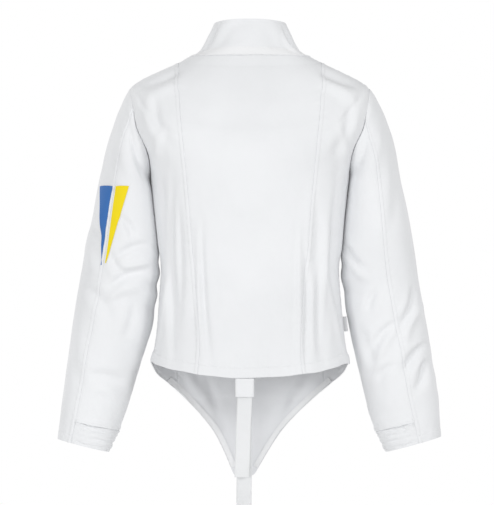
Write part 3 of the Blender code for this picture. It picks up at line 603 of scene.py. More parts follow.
def arm(side, angle, row):
    plain = arm_plain(side, angle, row)
    settled = clip(np.asarray(row, float) / 1.2) * clip((CUFF_END + 0.2 - row) / 0.8)
    height = fold_height(SLEEVE_FOLDS[side], 360, angle, row)
    facing = np.sin(np.radians(angle))
    in_back = crease_height(SLEEVE_BACK_CREASES[side], plain[..., 0], plain[..., 2])
    in_front = crease_height(SLEEVE_FRONT_CREASES[side], angle, row * ROW_LENGTH, 360)
    height = height + settled * (clip(facing * 4 + 0.3) * in_back + clip(0.4 - facing * 3) * in_front)
    height = height + settled * soft_waves(plain, SEED + 2 + ARM_SIGN[side])

    def plain_at(angle, row):
        return arm_plain(side, angle, row)

    return plain + ARM_SIGN[side] * normal_of(plain_at, angle, row, ARM_STEPS) * height[..., None]


def on_body(across, level):
    return body(across, level), normal_of(body, across, level, RING_STEPS)


def on_collar(across, level):
    return collar(across, level), normal_of(collar, across, level, RING_STEPS)


def on_arm(side):
    def surface(angle, row):
        return arm(side, angle, row)

    def at(angle, row):
        return surface(angle, row), ARM_SIGN[side] * normal_of(surface, angle, row, ARM_STEPS)

    return at


# Panels
Grid = namedtuple("Grid", "points normals")
made_stitches = {}


def lengths_along(points):
    """How far each point of a row is from the row's start."""
    steps = np.linalg.norm(np.diff(points, axis=0), axis=1)
    return np.concatenate([[0.0], np.cumsum(steps)])


def stops_between(total, first, last):
    """Distances across a panel: even steps, with closer ones at its edges and beside its stitch lines."""
    stops = list(np.linspace(0, total, max(2, round(total / MESH_STEP)) + 1)[1:-1])
    close = [0.0, 0.7, 1.7]
    for finish, turned in ((first, False), (last, True)):
        near = list(close)
        if finish.stitch_at:
            near += [finish.stitch_at + extra for extra in (-1.6, -0.8, 0.0, 0.8, 1.6)]
        stops += [total - d if turned else d for d in near]
    stops = sorted(d for d in stops if 0 <= d <= total)
    kept = [0.0]
    for d in stops:
        if d - kept[-1] > 0.55:
            kept.append(d)
    if total - kept[-1] < 0.55:
        kept.pop()
    return np.array(kept + [total])


def laid_out(at, rows, finishes):
    """Rows of places cut into a panel's own grid, with its stops along both ways."""
    places = np.array(rows, float)
    rough = at(places[..., 0], places[..., 1])[0]
    down = lengths_along(rough[:, rough.shape[1] // 2])
    stops = stops_between(down[-1], finishes["start"], finishes["end"])
    where = np.interp(stops, down, np.arange(len(down)))
    low = np.minimum(where.astype(int), len(down) - 2)
    part = (where - low)[:, None, None]
    places = places[low] * (1 - part) + places[low + 1] * part
    middle = rough[len(rough) // 2]
    side = lengths_along(middle)
    widest = max(lengths_along(row)[-1] for row in rough[:: max(1, len(rough) // 8)])
    stops = stops_between(widest, finishes["left"], finishes["right"]) / widest * side[-1]
    where = np.interp(stops, side, np.arange(len(side)))
    low = np.minimum(where.astype(int), len(side) - 2)
    part = (where - low)[None, :, None]
    return places[:, low] * (1 - part) + places[:, low + 1] * part


def edge_relief(distance, run, finish, seed):
    """How far the cloth stands off its surface beside an edge: turned in at the seam, raised up to its stitches."""
    relief = -finish.turn * np.exp(-((distance / 1.6) ** 2))
    reach = finish.stitch_at or 4.0
    if finish.stitch_at:
        relief = relief + finish.raised / (1 + np.exp(clip((distance - reach - 0.4) / 0.5, -30.0, 30.0)))
        relief = relief - (0.2 + 0.5 * finish.raised) * np.exp(-(((distance - reach) / 0.8) ** 2))
    random = np.random.default_rng(seed)
    waves = sum(np.sin(run * 2 * pi / random.uniform(7, 19) + random.uniform(0, 2 * pi)) for _ in range(3))
    return relief + finish.pucker * waves / 2 * np.exp(-(((distance - reach * 0.8) / (reach * 0.7 + 2)) ** 2))


def distances(points, axis, turned):
    """The distance of each point from one edge of the grid, along the grid's lines."""
    grid = points if axis == 0 else points.transpose(1, 0, 2)
    if turned:
        grid = grid[::-1]
    steps = np.linalg.norm(np.diff(grid, axis=0), axis=2)
    total = np.concatenate([np.zeros((1, grid.shape[1])), np.cumsum(steps, axis=0)])
    if turned:
        total = total[::-1]
    return total if axis == 0 else total.T


EDGES = {"start": (0, False), "end": (0, True), "left": (1, False), "right": (1, True)}


FACING_EDGE_Z = -554  # where the fronts' second layer ends inside the tail
FACING_WALL = 1.0


def facing(points):
    """The extra thickness of the fronts' second layer."""
    edge_z = FACING_EDGE_Z + 1.2 * np.sin(points[..., 0] / 23)
    return FACING_WALL / (1 + np.exp(clip((edge_z - points[..., 2]) / 0.5, -30.0, 30.0)))


# The last argument sets how much painted shade darkens the colour of the panel's inner face.
def make_panel(
    name, at, rows, material, finishes, outside=0.0, wall=CLOTH_WALL, relief=None, seed=0, inside=None, lining=1.0
):
    """A fine cloth shell over rows of places, closed all round, with its own flat map in metres."""
    finishes = {edge: finishes.get(edge, SEAM) for edge in EDGES}
    places = laid_out(at, rows, finishes)
    points, normals = at(places[..., 0], places[..., 1])
    height = np.full(points.shape[:-1], float(outside))
    for index, (edge, (axis, turned)) in enumerate(EDGES.items()):
        distance = distances(points, axis, turned)
        run = distances(points, 1 - axis, False)
        height += edge_relief(distance, run, finishes[edge], seed * 4 + index)
    if relief is not None:
        height += relief(places, points)
    outer = drawn_in(points + normals * height[..., None])
    depth = height - wall if inside is None else height - wall - inside(points)
    inner = drawn_in(points + normals * depth[..., None])
    obj = shell(name, outer, inner, material, lining)
    lines = []
    for edge, (axis, turned) in EDGES.items():
        if finishes[edge].stitch_at:
            lines.append(line_beside(outer, normals, axis, turned, finishes[edge].stitch_at))
    made_stitches[name] = lines
    return obj, Grid(outer, normals), flat_cut(points)


def drawn_in(grid):
    """The grid with its edges drawn in a little, so that neighbours don't touch."""
    grid = grid.copy()
    for axis in (0, 1):
        lines = grid if axis == 0 else grid.transpose(1, 0, 2)
        for end, beside in ((0, 1), (-1, -2)):
            way = lines[beside] - lines[end]
            lines[end] += way / np.maximum(np.linalg.norm(way, axis=1, keepdims=True), 1e-6) * PANEL_INSET
    return grid


def line_beside(outer, normals, axis, turned, away):
    """The points of a stitch line that runs beside one edge of the grid."""
    distance = distances(outer, axis, turned)
    grid, facing = (outer, normals) if axis == 0 else (outer.transpose(1, 0, 2), normals.transpose(1, 0, 2))
    distance = distance if axis == 0 else distance.T
    if turned:
        grid, facing, distance = grid[::-1], facing[::-1], distance[::-1]
    line = []
    for j in range(grid.shape[1]):
        if distance[-1, j] < away:
            continue
        where = np.interp(away, distance[:, j], np.arange(len(grid)))
        low = min(int(where), len(grid) - 2)
        part = where - low
        point = grid[low, j] * (1 - part) + grid[low + 1, j] * part
        line.append(point + facing[low, j] * 0.12)
    return np.array(line)


def flat_cut(points):
    """A panel's flat width, length and area in metres, measured over its surface."""
    across = max(lengths_along(row)[-1] for row in points)
    along = max(lengths_along(points[:, j])[-1] for j in range(points.shape[1]))
    a, b, c, d = points[:-1, :-1], points[:-1, 1:], points[1:, 1:], points[1:, :-1]
    area = (np.linalg.norm(np.cross(b - a, c - a), axis=2) + np.linalg.norm(np.cross(c - a, d - a), axis=2)).sum() / 2
    width, length = across * MM, along * MM
    return width, length, min(max(area * MM * MM, 0.301 * width * length), width * length)


def shell(name, outer, inner, material, inner_shade_amount=1.0):
    """A closed cloth wall between two like grids, with a flat map that follows the cloth's threads."""
    height, width = outer.shape[:2]
    count = height * width
    index = np.arange(count).reshape(height, width)
    a, b, c, d = index[:-1, :-1], index[:-1, 1:], index[1:, 1:], index[1:, :-1]
    faces = np.stack([a, b, c, d], -1).reshape(-1, 4)
    rim = np.concatenate([index[0], index[1:, -1], index[-1, -2::-1], index[-2:0:-1, 0]])
    following = np.roll(rim, -1)
    sides = np.stack([following, rim, rim + count, following + count], -1)
    faces = np.concatenate([faces, faces[:, ::-1] + count, sides])
    middle = outer[height // 2, width // 2] - inner[height // 2, width // 2]
    a0, b0, d0 = outer[height // 2, width // 2], outer[height // 2, width // 2 + 1], outer[height // 2 + 1, width // 2]
    if np.dot(np.cross(b0 - a0, d0 - a0), middle) < 0:
        faces = faces[:, ::-1]
    points = np.concatenate([outer.reshape(-1, 3), inner.reshape(-1, 3)]) * MM
    mesh = bpy.data.meshes.new(name)
    mesh.from_pydata(points.tolist(), [], faces.tolist())
    u = distances(outer, 1, False).reshape(-1) * MM
    v = distances(outer, 0, False).reshape(-1) * MM
    u, v = np.concatenate([u, u]), np.concatenate([v, v])
    corners = np.empty(len(mesh.loops), np.int32)
    mesh.loops.foreach_get("vertex_index", corners)
    layer = mesh.uv_layers.new(name="cloth_map")
    layer.data.foreach_set("uv", np.stack([u[corners], v[corners]], -1).astype(np.float32).reshape(-1))
    # Each point's weight of painted shade: none on the outer face, and the given amount on the inner face.
    lining = mesh.attributes.new("lining", "FLOAT", "POINT")
    lining.data.foreach_set("value", np.repeat((0.0, inner_shade_amount), count).astype(np.float32))
    return add_object(name, mesh, material)


def add_object(name, mesh, material):
    obj = bpy.data.objects.new(name, mesh)
    mesh.materials.append(material)
    mesh.shade_smooth()
    mesh.set_sharp_from_angle(angle=radians(50))
    bpy.context.scene.collection.objects.link(obj)
    return obj


def declare(obj, nodes, body_name="jacket"):
    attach(obj, body_name)
    if nodes:
        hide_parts(*nodes)


# Node groups and materials
def socket(tree, name, way, kind="NodeSocketFloat", value=None):
    made = tree.interface.new_socket(name=name, in_out=way, socket_type=kind)
    if value is not None:
        made.default_value = value
    return made


def math_node(tree, operation, a, b=None, clamp=False):
    node = tree.nodes.new("ShaderNodeMath")
    node.operation = operation
    node.use_clamp = clamp
    for index, value in enumerate((a, b)):
        if value is None:
            continue
        if isinstance(value, (int, float)):
            node.inputs[index].default_value = value
        else:
            tree.links.new(value, node.inputs[index])
    return node.outputs[0]


def twill_group():
    """Fine twill threads over a cloth map in metres: a height and a shade that change over the surface."""
    tree = bpy.data.node_groups.new("twill_weave", "ShaderNodeTree")
    socket(tree, "Map", "INPUT", "NodeSocketVector")
    socket(tree, "Threads per metre", "INPUT", value=1600.0)
    socket(tree, "Slub", "INPUT", value=0.3)
    socket(tree, "Height", "OUTPUT")
    socket(tree, "Shade", "OUTPUT")
    start, end = tree.nodes.new("NodeGroupInput"), tree.nodes.new("NodeGroupOutput")
    scaled = tree.nodes.new("ShaderNodeVectorMath")
    scaled.operation = "SCALE"
    tree.links.new(start.outputs["Map"], scaled.inputs[0])
    tree.links.new(start.outputs["Threads per metre"], scaled.inputs["Scale"])
    parts = tree.nodes.new("ShaderNodeSeparateXYZ")
    tree.links.new(scaled.outputs[0], parts.inputs[0])
    diagonal = math_node(tree, "ADD", parts.outputs["X"], parts.outputs["Y"])
    ridge = math_node(tree, "SINE", math_node(tree, "MULTIPLY", diagonal, pi))
    thread = math_node(tree, "SINE", math_node(tree, "MULTIPLY", parts.outputs["X"], 2 * pi))
    noise = tree.nodes.new("ShaderNodeTexNoise")
    noise.inputs["Scale"].default_value = 0.35
    noise.inputs["Detail"].default_value = 3.0
    tree.links.new(scaled.outputs[0], noise.inputs["Vector"])
    uneven = math_node(tree, "MULTIPLY", noise.outputs["Fac"], start.outputs["Slub"])
    height = math_node(tree, "ADD", math_node(tree, "MULTIPLY", ridge, 0.35), math_node(tree, "MULTIPLY", thread, 0.15))
    height = math_node(tree, "ADD", height, uneven)
    tree.links.new(height, end.inputs["Height"])
    tree.links.new(math_node(tree, "ADD", uneven, 0.5), end.inputs["Shade"])
    return tree


def webbing_group():
    """Ribs across a woven strap and the finer threads along it."""
    tree = bpy.data.node_groups.new("webbing_weave", "ShaderNodeTree")
    socket(tree, "Map", "INPUT", "NodeSocketVector")
    socket(tree, "Ribs per metre", "INPUT", value=620.0)
    socket(tree, "Height", "OUTPUT")
    start, end = tree.nodes.new("NodeGroupInput"), tree.nodes.new("NodeGroupOutput")
    scaled = tree.nodes.new("ShaderNodeVectorMath")
    scaled.operation = "SCALE"
    tree.links.new(start.outputs["Map"], scaled.inputs[0])
    tree.links.new(start.outputs["Ribs per metre"], scaled.inputs["Scale"])
    parts = tree.nodes.new("ShaderNodeSeparateXYZ")
    tree.links.new(scaled.outputs[0], parts.inputs[0])
    ribs = math_node(tree, "ABSOLUTE", math_node(tree, "SINE", math_node(tree, "MULTIPLY", parts.outputs["Y"], pi)))
    lines = math_node(tree, "ABSOLUTE", math_node(tree, "SINE", math_node(tree, "MULTIPLY", parts.outputs["X"], pi)))
    tree.links.new(math_node(tree, "ADD", ribs, math_node(tree, "MULTIPLY", lines, 0.6)), end.inputs["Height"])
    return tree


def stain_group():
    """Slow variation over a surface in Object coordinates, from 0 to 1."""
    tree = bpy.data.node_groups.new("slow_variation", "ShaderNodeTree")
    socket(tree, "Size per metre", "INPUT", value=9.0)
    socket(tree, "Value", "OUTPUT")
    start, end = tree.nodes.new("NodeGroupInput"), tree.nodes.new("NodeGroupOutput")
    place = tree.nodes.new("ShaderNodeTexCoord")
    noise = tree.nodes.new("ShaderNodeTexNoise")
    noise.inputs["Detail"].default_value = 4.0
    tree.links.new(place.outputs["Object"], noise.inputs["Vector"])
    tree.links.new(start.outputs["Size per metre"], noise.inputs["Scale"])
    tree.links.new(noise.outputs["Fac"], end.inputs["Value"])
    return tree


TWILL = twill_group()
WEBBING = webbing_group()
VARIATION = stain_group()


def group_node(tree, group):
    node = tree.nodes.new("ShaderNodeGroup")
    node.node_tree = group
    return node


def ramp(tree, value, low, high, first, second):
    """Colours between two shades, as a value goes from low to high."""
    node = tree.nodes.new("ShaderNodeValToRGB")
    node.color_ramp.elements[0].position, node.color_ramp.elements[1].position = low, high
    node.color_ramp.elements[0].color, node.color_ramp.elements[1].color = (*first, 1), (*second, 1)
    tree.links.new(value, node.inputs[0])
    return node.outputs[0]


# Painted shade: the grey that darkens the colour of a panel's inner face, for the shade that falls inside the jacket.
PAINTED_INNER_SHADE_COLOUR = (0.95, 0.95, 0.955)


def with_painted_inner_shade(tree, colour):
    """Painted shade: the cloth's colour multiplied by a grey on its inner face, standing in for the shade that falls
    inside the jacket.
    """
    inside = tree.nodes.new("ShaderNodeAttribute")
    inside.attribute_name = "lining"
    mixed = tree.nodes.new("ShaderNodeMix")
    mixed.data_type = "RGBA"
    mixed.blend_type = "MULTIPLY"
    plain, shade = [item for item in mixed.inputs if item.type == "RGBA"]
    shade.default_value = (*PAINTED_INNER_SHADE_COLOUR, 1)
    tree.links.new(inside.outputs["Fac"], mixed.inputs["Factor"])
    tree.links.new(colour, plain)
    return next(item for item in mixed.outputs if item.type == "RGBA")


def cloth_material(name, dark, light, threads, bump, roughness=0.85, sheen=0.25, webbing=False):
    material = bpy.data.materials.new(name)
    material.use_nodes = True
    tree = material.node_tree
    shader = tree.nodes["Principled BSDF"]
    flat_map = tree.nodes.new("ShaderNodeUVMap")
    flat_map.uv_map = "cloth_map"
    weave = group_node(tree, WEBBING if webbing else TWILL)
    tree.links.new(flat_map.outputs[0], weave.inputs["Map"])
    weave.inputs["Ribs per metre" if webbing else "Threads per metre"].default_value = threads
    slow = group_node(tree, VARIATION)
    slow.inputs["Size per metre"].default_value = 7.0
    colour = ramp(tree, slow.outputs["Value"], 0.35, 0.65, dark, light)
    # The base colour gets painted shade on the inner faces.
    tree.links.new(with_painted_inner_shade(tree, colour), shader.inputs["Base Color"])
    rough = math_node(tree, "MULTIPLY", slow.outputs["Value"], 0.16)
    tree.links.new(math_node(tree, "ADD", rough, roughness - 0.08), shader.inputs["Roughness"])
    relief = tree.nodes.new("ShaderNodeBump")
    relief.inputs["Strength"].default_value = bump
    relief.inputs["Distance"].default_value = 0.0003
    tree.links.new(weave.outputs["Height"], relief.inputs["Height"])
    tree.links.new(relief.outputs[0], shader.inputs["Normal"])
    shader.inputs["Sheen Weight"].default_value = sheen
    shader.inputs["Sheen Roughness"].default_value = 0.45
    shader.inputs["Specular IOR Level"].default_value = 0.25
    return material


def hard_material(name, dark, light, roughness, metallic, grain, bump):
    """Moulded plastic or plated metal, with a fine uneven surface in Object coordinates."""
    material = bpy.data.materials.new(name)
    material.use_nodes = True
    tree = material.node_tree
    shader = tree.nodes["Principled BSDF"]
    fine = group_node(tree, VARIATION)
    fine.inputs["Size per metre"].default_value = grain
    tree.links.new(ramp(tree, fine.outputs["Value"], 0.3, 0.7, dark, light), shader.inputs["Base Color"])
    rough = math_node(tree, "MULTIPLY", fine.outputs["Value"], 0.2)
    tree.links.new(math_node(tree, "ADD", rough, roughness - 0.1), shader.inputs["Roughness"])
    shader.inputs["Metallic"].default_value = metallic
    relief = tree.nodes.new("ShaderNodeBump")
    relief.inputs["Strength"].default_value = bump
    relief.inputs["Distance"].default_value = 0.0001
    tree.links.new(fine.outputs["Value"], relief.inputs["Height"])
    tree.links.new(relief.outputs[0], shader.inputs["Normal"])
    return material


WHITE_CLOTH = cloth_material("white_cloth", (0.80, 0.81, 0.825), (0.84, 0.85, 0.865), 1500.0, 0.35)
WHITE_BAND = cloth_material("white_band_cloth", (0.82, 0.825, 0.835), (0.86, 0.865, 0.875), 1700.0, 0.3, 0.8)
WHITE_WEBBING = cloth_material("white_webbing", (0.78, 0.79, 0.80), (0.84, 0.85, 0.86), 620.0, 0.8, 0.8, 0.2, True)
WHITE_TAPE = cloth_material("white_tape", (0.80, 0.805, 0.81), (0.85, 0.855, 0.86), 900.0, 0.6, 0.75, 0.2)
WHITE_THREAD = cloth_material("white_thread", (0.83, 0.835, 0.84), (0.88, 0.885, 0.89), 5000.0, 0.2, 0.6, 0.3)
BLUE_CLOTH = cloth_material("blue_stripe_cloth", (0.045, 0.16, 0.45), (0.055, 0.18, 0.49), 1500.0, 0.35, 0.8, 0.15)
YELLOW_CLOTH = cloth_material("yellow_stripe_cloth", (0.86, 0.68, 0.01), (0.9, 0.72, 0.015), 1500.0, 0.35, 0.8, 0.15)
WHITE_COIL = hard_material("white_zip_coil", (0.78, 0.785, 0.79), (0.86, 0.86, 0.865), 0.42, 0.0, 600.0, 0.2)
ZIP_METAL = hard_material("zip_metal", (0.62, 0.62, 0.64), (0.74, 0.74, 0.76), 0.3, 1.0, 900.0, 0.3)


# Back
LOW_LEVELS = (0, 0.6, 1.2, 1.9, 2.6, 3.3, 4, 4.7, 5.5, 6.3, 7)
BACK_LEVELS_ABOVE = (7.9, 8.8, 9.7, 10.6, 11.5, 12.3)
SHOULDER_PLACES = (0.53, 0.66, 0.8, 1.0)
FINENESS = 6


def between(start, end, count):
    return list(zip(spread(start[0], end[0], count), spread(start[1], end[1], count)))


def flip(rows):
    return [[(-a, b) for a, b in row] for row in rows]


def shoulder_level(across):
    """The level where the shoulder seam passes this place."""
    return level_where(lambda level: body_plain(across, level)[0] > BACK_SEAM_SHOULDER_X, 11, NECK_LEVEL)


def back_seam_places():
    levels = finer(LOW_LEVELS + BACK_LEVELS_ABOVE, FINENESS)
    places = [(across_at(level, float(smooth(BACK_SEAM_COLUMN, level))), level) for level in levels]
    corner = places[-1][0]
    for across in finer((corner,) + SHOULDER_PLACES, FINENESS)[1:]:
        places.append((across, shoulder_level(across)))
    return places


HEM_REACH = 2.0  # levels over which the hem's unevenness dies out
RIGHT_HEM_DROP = 0.15


def hem_dropped(rows):
    """The back's rows with the hem made a little uneven, and lower at the wearer's right side."""
    dropped = []
    for row in rows:
        moved = []
        for across, level in row:
            drop = 0.022 * np.sin(across * 11.0 + 0.8) + 0.014 * np.sin(across * 27.0)
            drop += RIGHT_HEM_DROP * clip((-across - 0.55) / 0.45) ** 2
            moved.append((across, level - float(drop) * float(clip(1 - level / HEM_REACH)) ** 2))
        dropped.append(moved)
    return dropped


def make_back():
    seam = back_seam_places()
    low = finer(LOW_LEVELS, FINENESS)
    side = [(1.0, level) for level in low]
    side += [tuple(map(float, armhole(angle))) for angle in spread(180, 0, len(seam) - len(low))[1:]]
    rows = [between(a, b, 24) for a, b in zip(seam, side)]
    finishes = {"start": BACK_HEM, "left": TOPSTITCHED, "right": SHALLOW}
    left, right = hem_dropped(rows), hem_dropped(flip(rows))
    for name, panel_rows, seed in (("back_side_left", left, 1), ("back_side_right", right, 2)):
        obj, _, cut = make_panel("cloth_" + name, on_body, panel_rows, WHITE_CLOTH, finishes, seed=seed)
        declare(obj, [name])
    above = [(1.0, level) for level in spread(seam[-1][1], NECK_LEVEL, 8)[1:]]
    centre = hem_dropped([between((-a, level), (a, level), 60) for a, level in seam + above])
    obj, _, cut = make_panel("cloth_back_center", on_body, centre, WHITE_CLOTH, {"start": BACK_HEM, "end": SHALLOW}, seed=3)
    declare(obj, ["back_center"])


# Front, with the tail
def front_ring(across, level):
    return ring_point(BODY_COLUMNS, BODY_SQUARENESS, across, level)


def tail_level(across):
    """The level of the front's lower edge at this place round the body."""

    def under_edge(level):
        point = front_ring(across, level)
        return point[2] < smooth(TAIL_EDGE_COLUMN, abs(point[0]))

    return level_where(under_edge, TAIL_END_LEVEL, FRONT_JOIN_LEVEL)


def front_seam_across(level):
    return across_at(level, float(smooth(FRONT_SEAM_COLUMN, level)), front=True)


def front_seam_foot():
    return level_where(lambda level: level < tail_level(front_seam_across(level)), TAIL_END_LEVEL, HEM_LEVEL)


def armhole_angle(level):
    middle = (UNDERARM_LEVEL + SHOULDER_TIP_LEVEL) / 2
    half = (SHOULDER_TIP_LEVEL - UNDERARM_LEVEL) / 2
    return 180 - asin(sqrt(max(1 - ((level - middle) / half) ** 2, 0.0))) * 180 / pi


def tail_rows(start, end, count, parts):
    foot = [(across, tail_level(across)) for across in spread(start, end, count)]
    return [[(a, low + (FRONT_JOIN_LEVEL - low) * part) for a, low in foot] for part in parts]


def make_front():
    upper = [FRONT_JOIN_LEVEL] + [level for level in LOW_LEVELS if level > FRONT_JOIN_LEVEL]
    upper = finer(upper + [7.4, FRONT_SEAM_TOP_LEVEL], FINENESS)
    seam_foot = front_seam_across(front_seam_foot())
    parts = spread(0, 1, 40)[:-1]
    side_rows = tail_rows(1.0, seam_foot, 24, parts)
    for level in upper:
        start = 1.0
        if level > UNDERARM_LEVEL:
            start = 2 - float(armhole(armhole_angle(level))[0])
        side_rows.append(between((start, level), (front_seam_across(level), level), 24))
    finishes = {"start": TAIL_EDGE_HEM, "end": HIDDEN}
    for name, rows, seed in (("front_side_left", side_rows, 4), ("front_side_right", flip(side_rows), 5)):
        obj, _, cut = make_panel("cloth_" + name, on_body, rows, WHITE_CLOTH, finishes, seed=seed)
        declare(obj, [name])

    tail_centre = across_at(HEM_LEVEL, 0.2, front=True)
    rows = tail_rows(seam_foot, tail_centre, 54, parts)
    for level in upper:
        rows.append(front_row(front_seam_across(level), level))
    angles = np.arange(FRONT_SEAM_ARMHOLE_ANGLE, -1, -3.0)
    for angle in angles:
        across, level = map(float, armhole(angle))
        rows.append(front_row(2 - across, level))
    for level in finer((SHOULDER_TIP_LEVEL, 12.1, 13.2, 14.1, NECK_LEVEL), 4)[1:]:
        rows.append(front_row(1.0, level))
    finishes = {"start": TAIL_EDGE_HEM, "left": TOPSTITCHED, "right": ZIP_EDGE, "end": SHALLOW}
    for name, panel_rows, seed in (("front_left", rows, 6), ("front_right", flip(rows), 7)):
        obj, _, cut = make_panel(
            "cloth_" + name, on_body, panel_rows, WHITE_CLOTH, finishes, seed=seed, inside=facing
        )
        declare(obj, [name])


def front_row(outer, level):
    return between((outer, level), (across_at(level, ZIP_OPENING / 2, front=True), level), 54)


# Tail hems
TAIL_HEM_X = (22, 30, 40, 52, 64, 76, 88, 100, 112, 124, 136)
TAIL_HEM_INSET = 0.6
TAIL_HEM_WIDTH = 9
TAIL_HEM_GAP = 0.5
TAIL_HEM_WALL = 1.2
TAIL_HEM_STITCH_AT = 1.8


def front_place(x, z):
    level = level_where(
        lambda level: front_ring(across_at(level, x, front=True), level)[2] < z, TAIL_END_LEVEL, SHOULDER_TIP_LEVEL
    )
    return across_at(level, x, front=True), level


def make_tail_hems():
    stops = finer(TAIL_HEM_X, 4)
    edge = np.array([(x, float(smooth(TAIL_EDGE_COLUMN, x))) for x in stops])
    rows = []
    for away in (TAIL_HEM_INSET, TAIL_HEM_WIDTH / 2, TAIL_HEM_WIDTH):
        row = []
        for index, point in enumerate(edge):
            along = edge[min(index + 1, len(edge) - 1)] - edge[max(index - 1, 0)]
            inward = np.array((-along[1], along[0])) / np.linalg.norm(along)
            row.append(front_place(*(point + inward * away)))
        rows.append(row)
    finishes = {edge: HIDDEN for edge in EDGES}
    outside = -CLOTH_WALL - TAIL_HEM_GAP
    for name, panel_rows, seed in (("tail_hem_left", rows, 8), ("tail_hem_right", flip(rows), 9)):
        obj, grid, cut = make_panel(
            "cloth_" + name, on_body, panel_rows, WHITE_BAND, finishes, outside, TAIL_HEM_WALL, seed=seed, lining=0.0
        )
        declare(obj, [name])
        seen = grid.points - grid.normals * TAIL_HEM_WALL
        made_stitches[name] = [line_beside(seen, -grid.normals, 0, True, TAIL_HEM_STITCH_AT)]


# Collar and its band
def collar_across(level, x):
    return across_at(level, x, True, COLLAR_COLUMNS, COLLAR_SQUARENESS)


def collar_row(level):
    edge = collar_across(level, ZIP_OPENING / 2)
    return between((-edge, level), (edge, level), 150)


def make_collar():
    rows = [collar_row(level) for level in spread(COLLAR_START, COLLAR_TOP_LEVEL, 30)]
    finishes = {"start": ARMHOLE, "end": COLLAR_EDGE, "left": ZIP_EDGE, "right": ZIP_EDGE}
    obj, _, cut = make_panel("cloth_collar", on_collar, rows, WHITE_CLOTH, finishes, seed=10)
    declare(obj, ["collar"])
    low, high = NECK_BAND_START, NECK_BAND_LEVELS[-1]
    rows = [collar_row(level) for level in spread(low, high, 12)]
    finishes = {
        "start": Finish(0.6, 1.8, 0.25, 0.15),
        "end": Finish(0.6, 1.8, 0.25, 0.15),
        "left": HIDDEN,
        "right": HIDDEN,
    }
    obj, _, cut = make_panel("cloth_neck_band", on_collar, rows, WHITE_BAND, finishes, 1.1, 1.05, seed=11)
    declare(obj, ["neck_band"])


# Sleeves
# Rolls round the cuff, as how far below the tuck in mm, how wide and how high
Roll = namedtuple("Roll", "below width height")
CUFF_ROLLS = (
    Roll(0.2, 1.3, -1.0),
    Roll(2.5, 1.5, 1.1),
    Roll(5.0, 1.1, -0.9),
    Roll(8.0, 2.2, 1.0),
    Roll(10.8, 1.2, -0.5),
    Roll(15.0, 3.2, 1.3),
    Roll(19.5, 1.8, -0.8),
    Roll(24.5, 3.0, 0.9),
    Roll(29.0, 1.6, -0.4),
)
CUFF_LENGTH = 33.0
ROLL_DEPTH = 1.9


def cuff_relief(side):
    """Soft rolls round the cuff below its tuck, uneven in depth and in place."""
    start, end = SLEEVE_BACK_SEAM[side], SLEEVE_FRONT_SEAM

    def relief(places, points):
        angle, row = places[..., 0], places[..., 1]
        part = (angle - start) / (end - start)
        inward = clip(np.minimum(part, 1 - part) * 12)
        below = (row - TUCK_ROW) / (CUFF_END - TUCK_ROW) * CUFF_LENGTH
        below = below + 0.9 * np.sin(part * 17.0 + 1.3) + 0.6 * np.sin(part * 31.0)
        height = np.zeros(part.shape)
        for index, roll in enumerate(CUFF_ROLLS):
            uneven = 0.75 + 0.35 * np.sin(part * (9.0 + index) + index * 1.7)
            height += roll.height * uneven * np.exp(-(((below - roll.below) / roll.width) ** 2))
        return height * inward * ROLL_DEPTH

    return relief


HEAD_ROW = -0.03  # the sleeve runs in under the body's edge


def head_relief(places, points):
    """The sleeve head stands a little full beside the armhole."""
    row = places[..., 1]
    return 1.1 * np.exp(-(((row - 0.35) / 0.3) ** 2)) * clip(np.cos(np.radians(places[..., 0])) + 0.7)


def tuck_relief(places, points):
    """The under sleeve's end is folded under and stands proud over the gathers."""
    row = places[..., 1]
    tuck = 1.4 * clip((row - (TUCK_ROW - 0.16)) / 0.08)
    return head_relief(places, points) + tuck


def sleeve_places(start, end, rows):
    return [[(angle, row) for angle in np.linspace(start, end, 90)] for row in rows]


def make_sleeve(side, seed):
    back, front = SLEEVE_BACK_SEAM[side], SLEEVE_FRONT_SEAM
    at = on_arm(side)
    down = list(np.linspace(HEAD_ROW, CUFF_END, 200))
    finishes = {"start": ARMHOLE, "end": CUFF_EDGE, "right": TOPSTITCHED}
    name = "sleeve_upper_" + side
    obj, grid, cut = make_panel(
        "cloth_" + name,
        at,
        sleeve_places(front - 360, back, down),
        WHITE_CLOTH,
        finishes,
        relief=head_relief,
        seed=seed,
    )
    declare(obj, [name])
    down = list(np.linspace(HEAD_ROW, TUCK_ROW, 190))
    name = "sleeve_under_" + side
    obj, _, cut = make_panel(
        "cloth_" + name,
        at,
        sleeve_places(back, front, down),
        WHITE_CLOTH,
        {"start": ARMHOLE, "end": Finish(0.2, 3.0, 0.3, 0.2)},
        relief=tuck_relief,
        seed=seed + 1,
    )
    declare(obj, [name])
    name = "cuff_" + side
    rolls = sleeve_places(back, front, np.linspace(TUCK_ROW, CUFF_END, 14))
    obj, _, cut = make_panel(
        "cloth_" + name,
        at,
        rolls,
        WHITE_CLOTH,
        {"start": HIDDEN, "end": Finish(0.25, 4.0, 0.3, 0.25)},
        relief=cuff_relief(side),
        seed=seed + 2,
    )
    declare(obj, [name])


# Two-colour tapering stripes beside the left sleeve's back seam, widest and level at their tops
STRIPE_TOP_Z = -210.0
STRIPE_SEAM_GAP = 3.6  # degrees
STRIPE_HEIGHT = 1.1  # clear of the seam's raised edge
STRIPE_WALL = 0.25
Stripe = namedtuple("Stripe", "name sign top_x foot_x foot_z")
STRIPES = (
    Stripe("stripe_blue", -1, 240.0, 237.2, -336.0),
    Stripe("stripe_yellow", 1, 193.0, 229.8, -333.0),
)


def arm_place(side, x, z):
    """The (angle, row) of a point of a sleeve's back, by Newton's steps from the middle of the upper arm."""
    place = np.array([70.0, 4.5])
    for _ in range(14):
        here = arm_plain(side, *place)[[0, 2]]
        by_angle = arm_plain(side, place[0] + 1, place[1])[[0, 2]] - here
        by_row = (arm_plain(side, place[0], place[1] + 0.05)[[0, 2]] - here) / 0.05
        place = place + np.linalg.solve(np.stack([by_angle, by_row], 1), np.array((x, z)) - here)
    return place


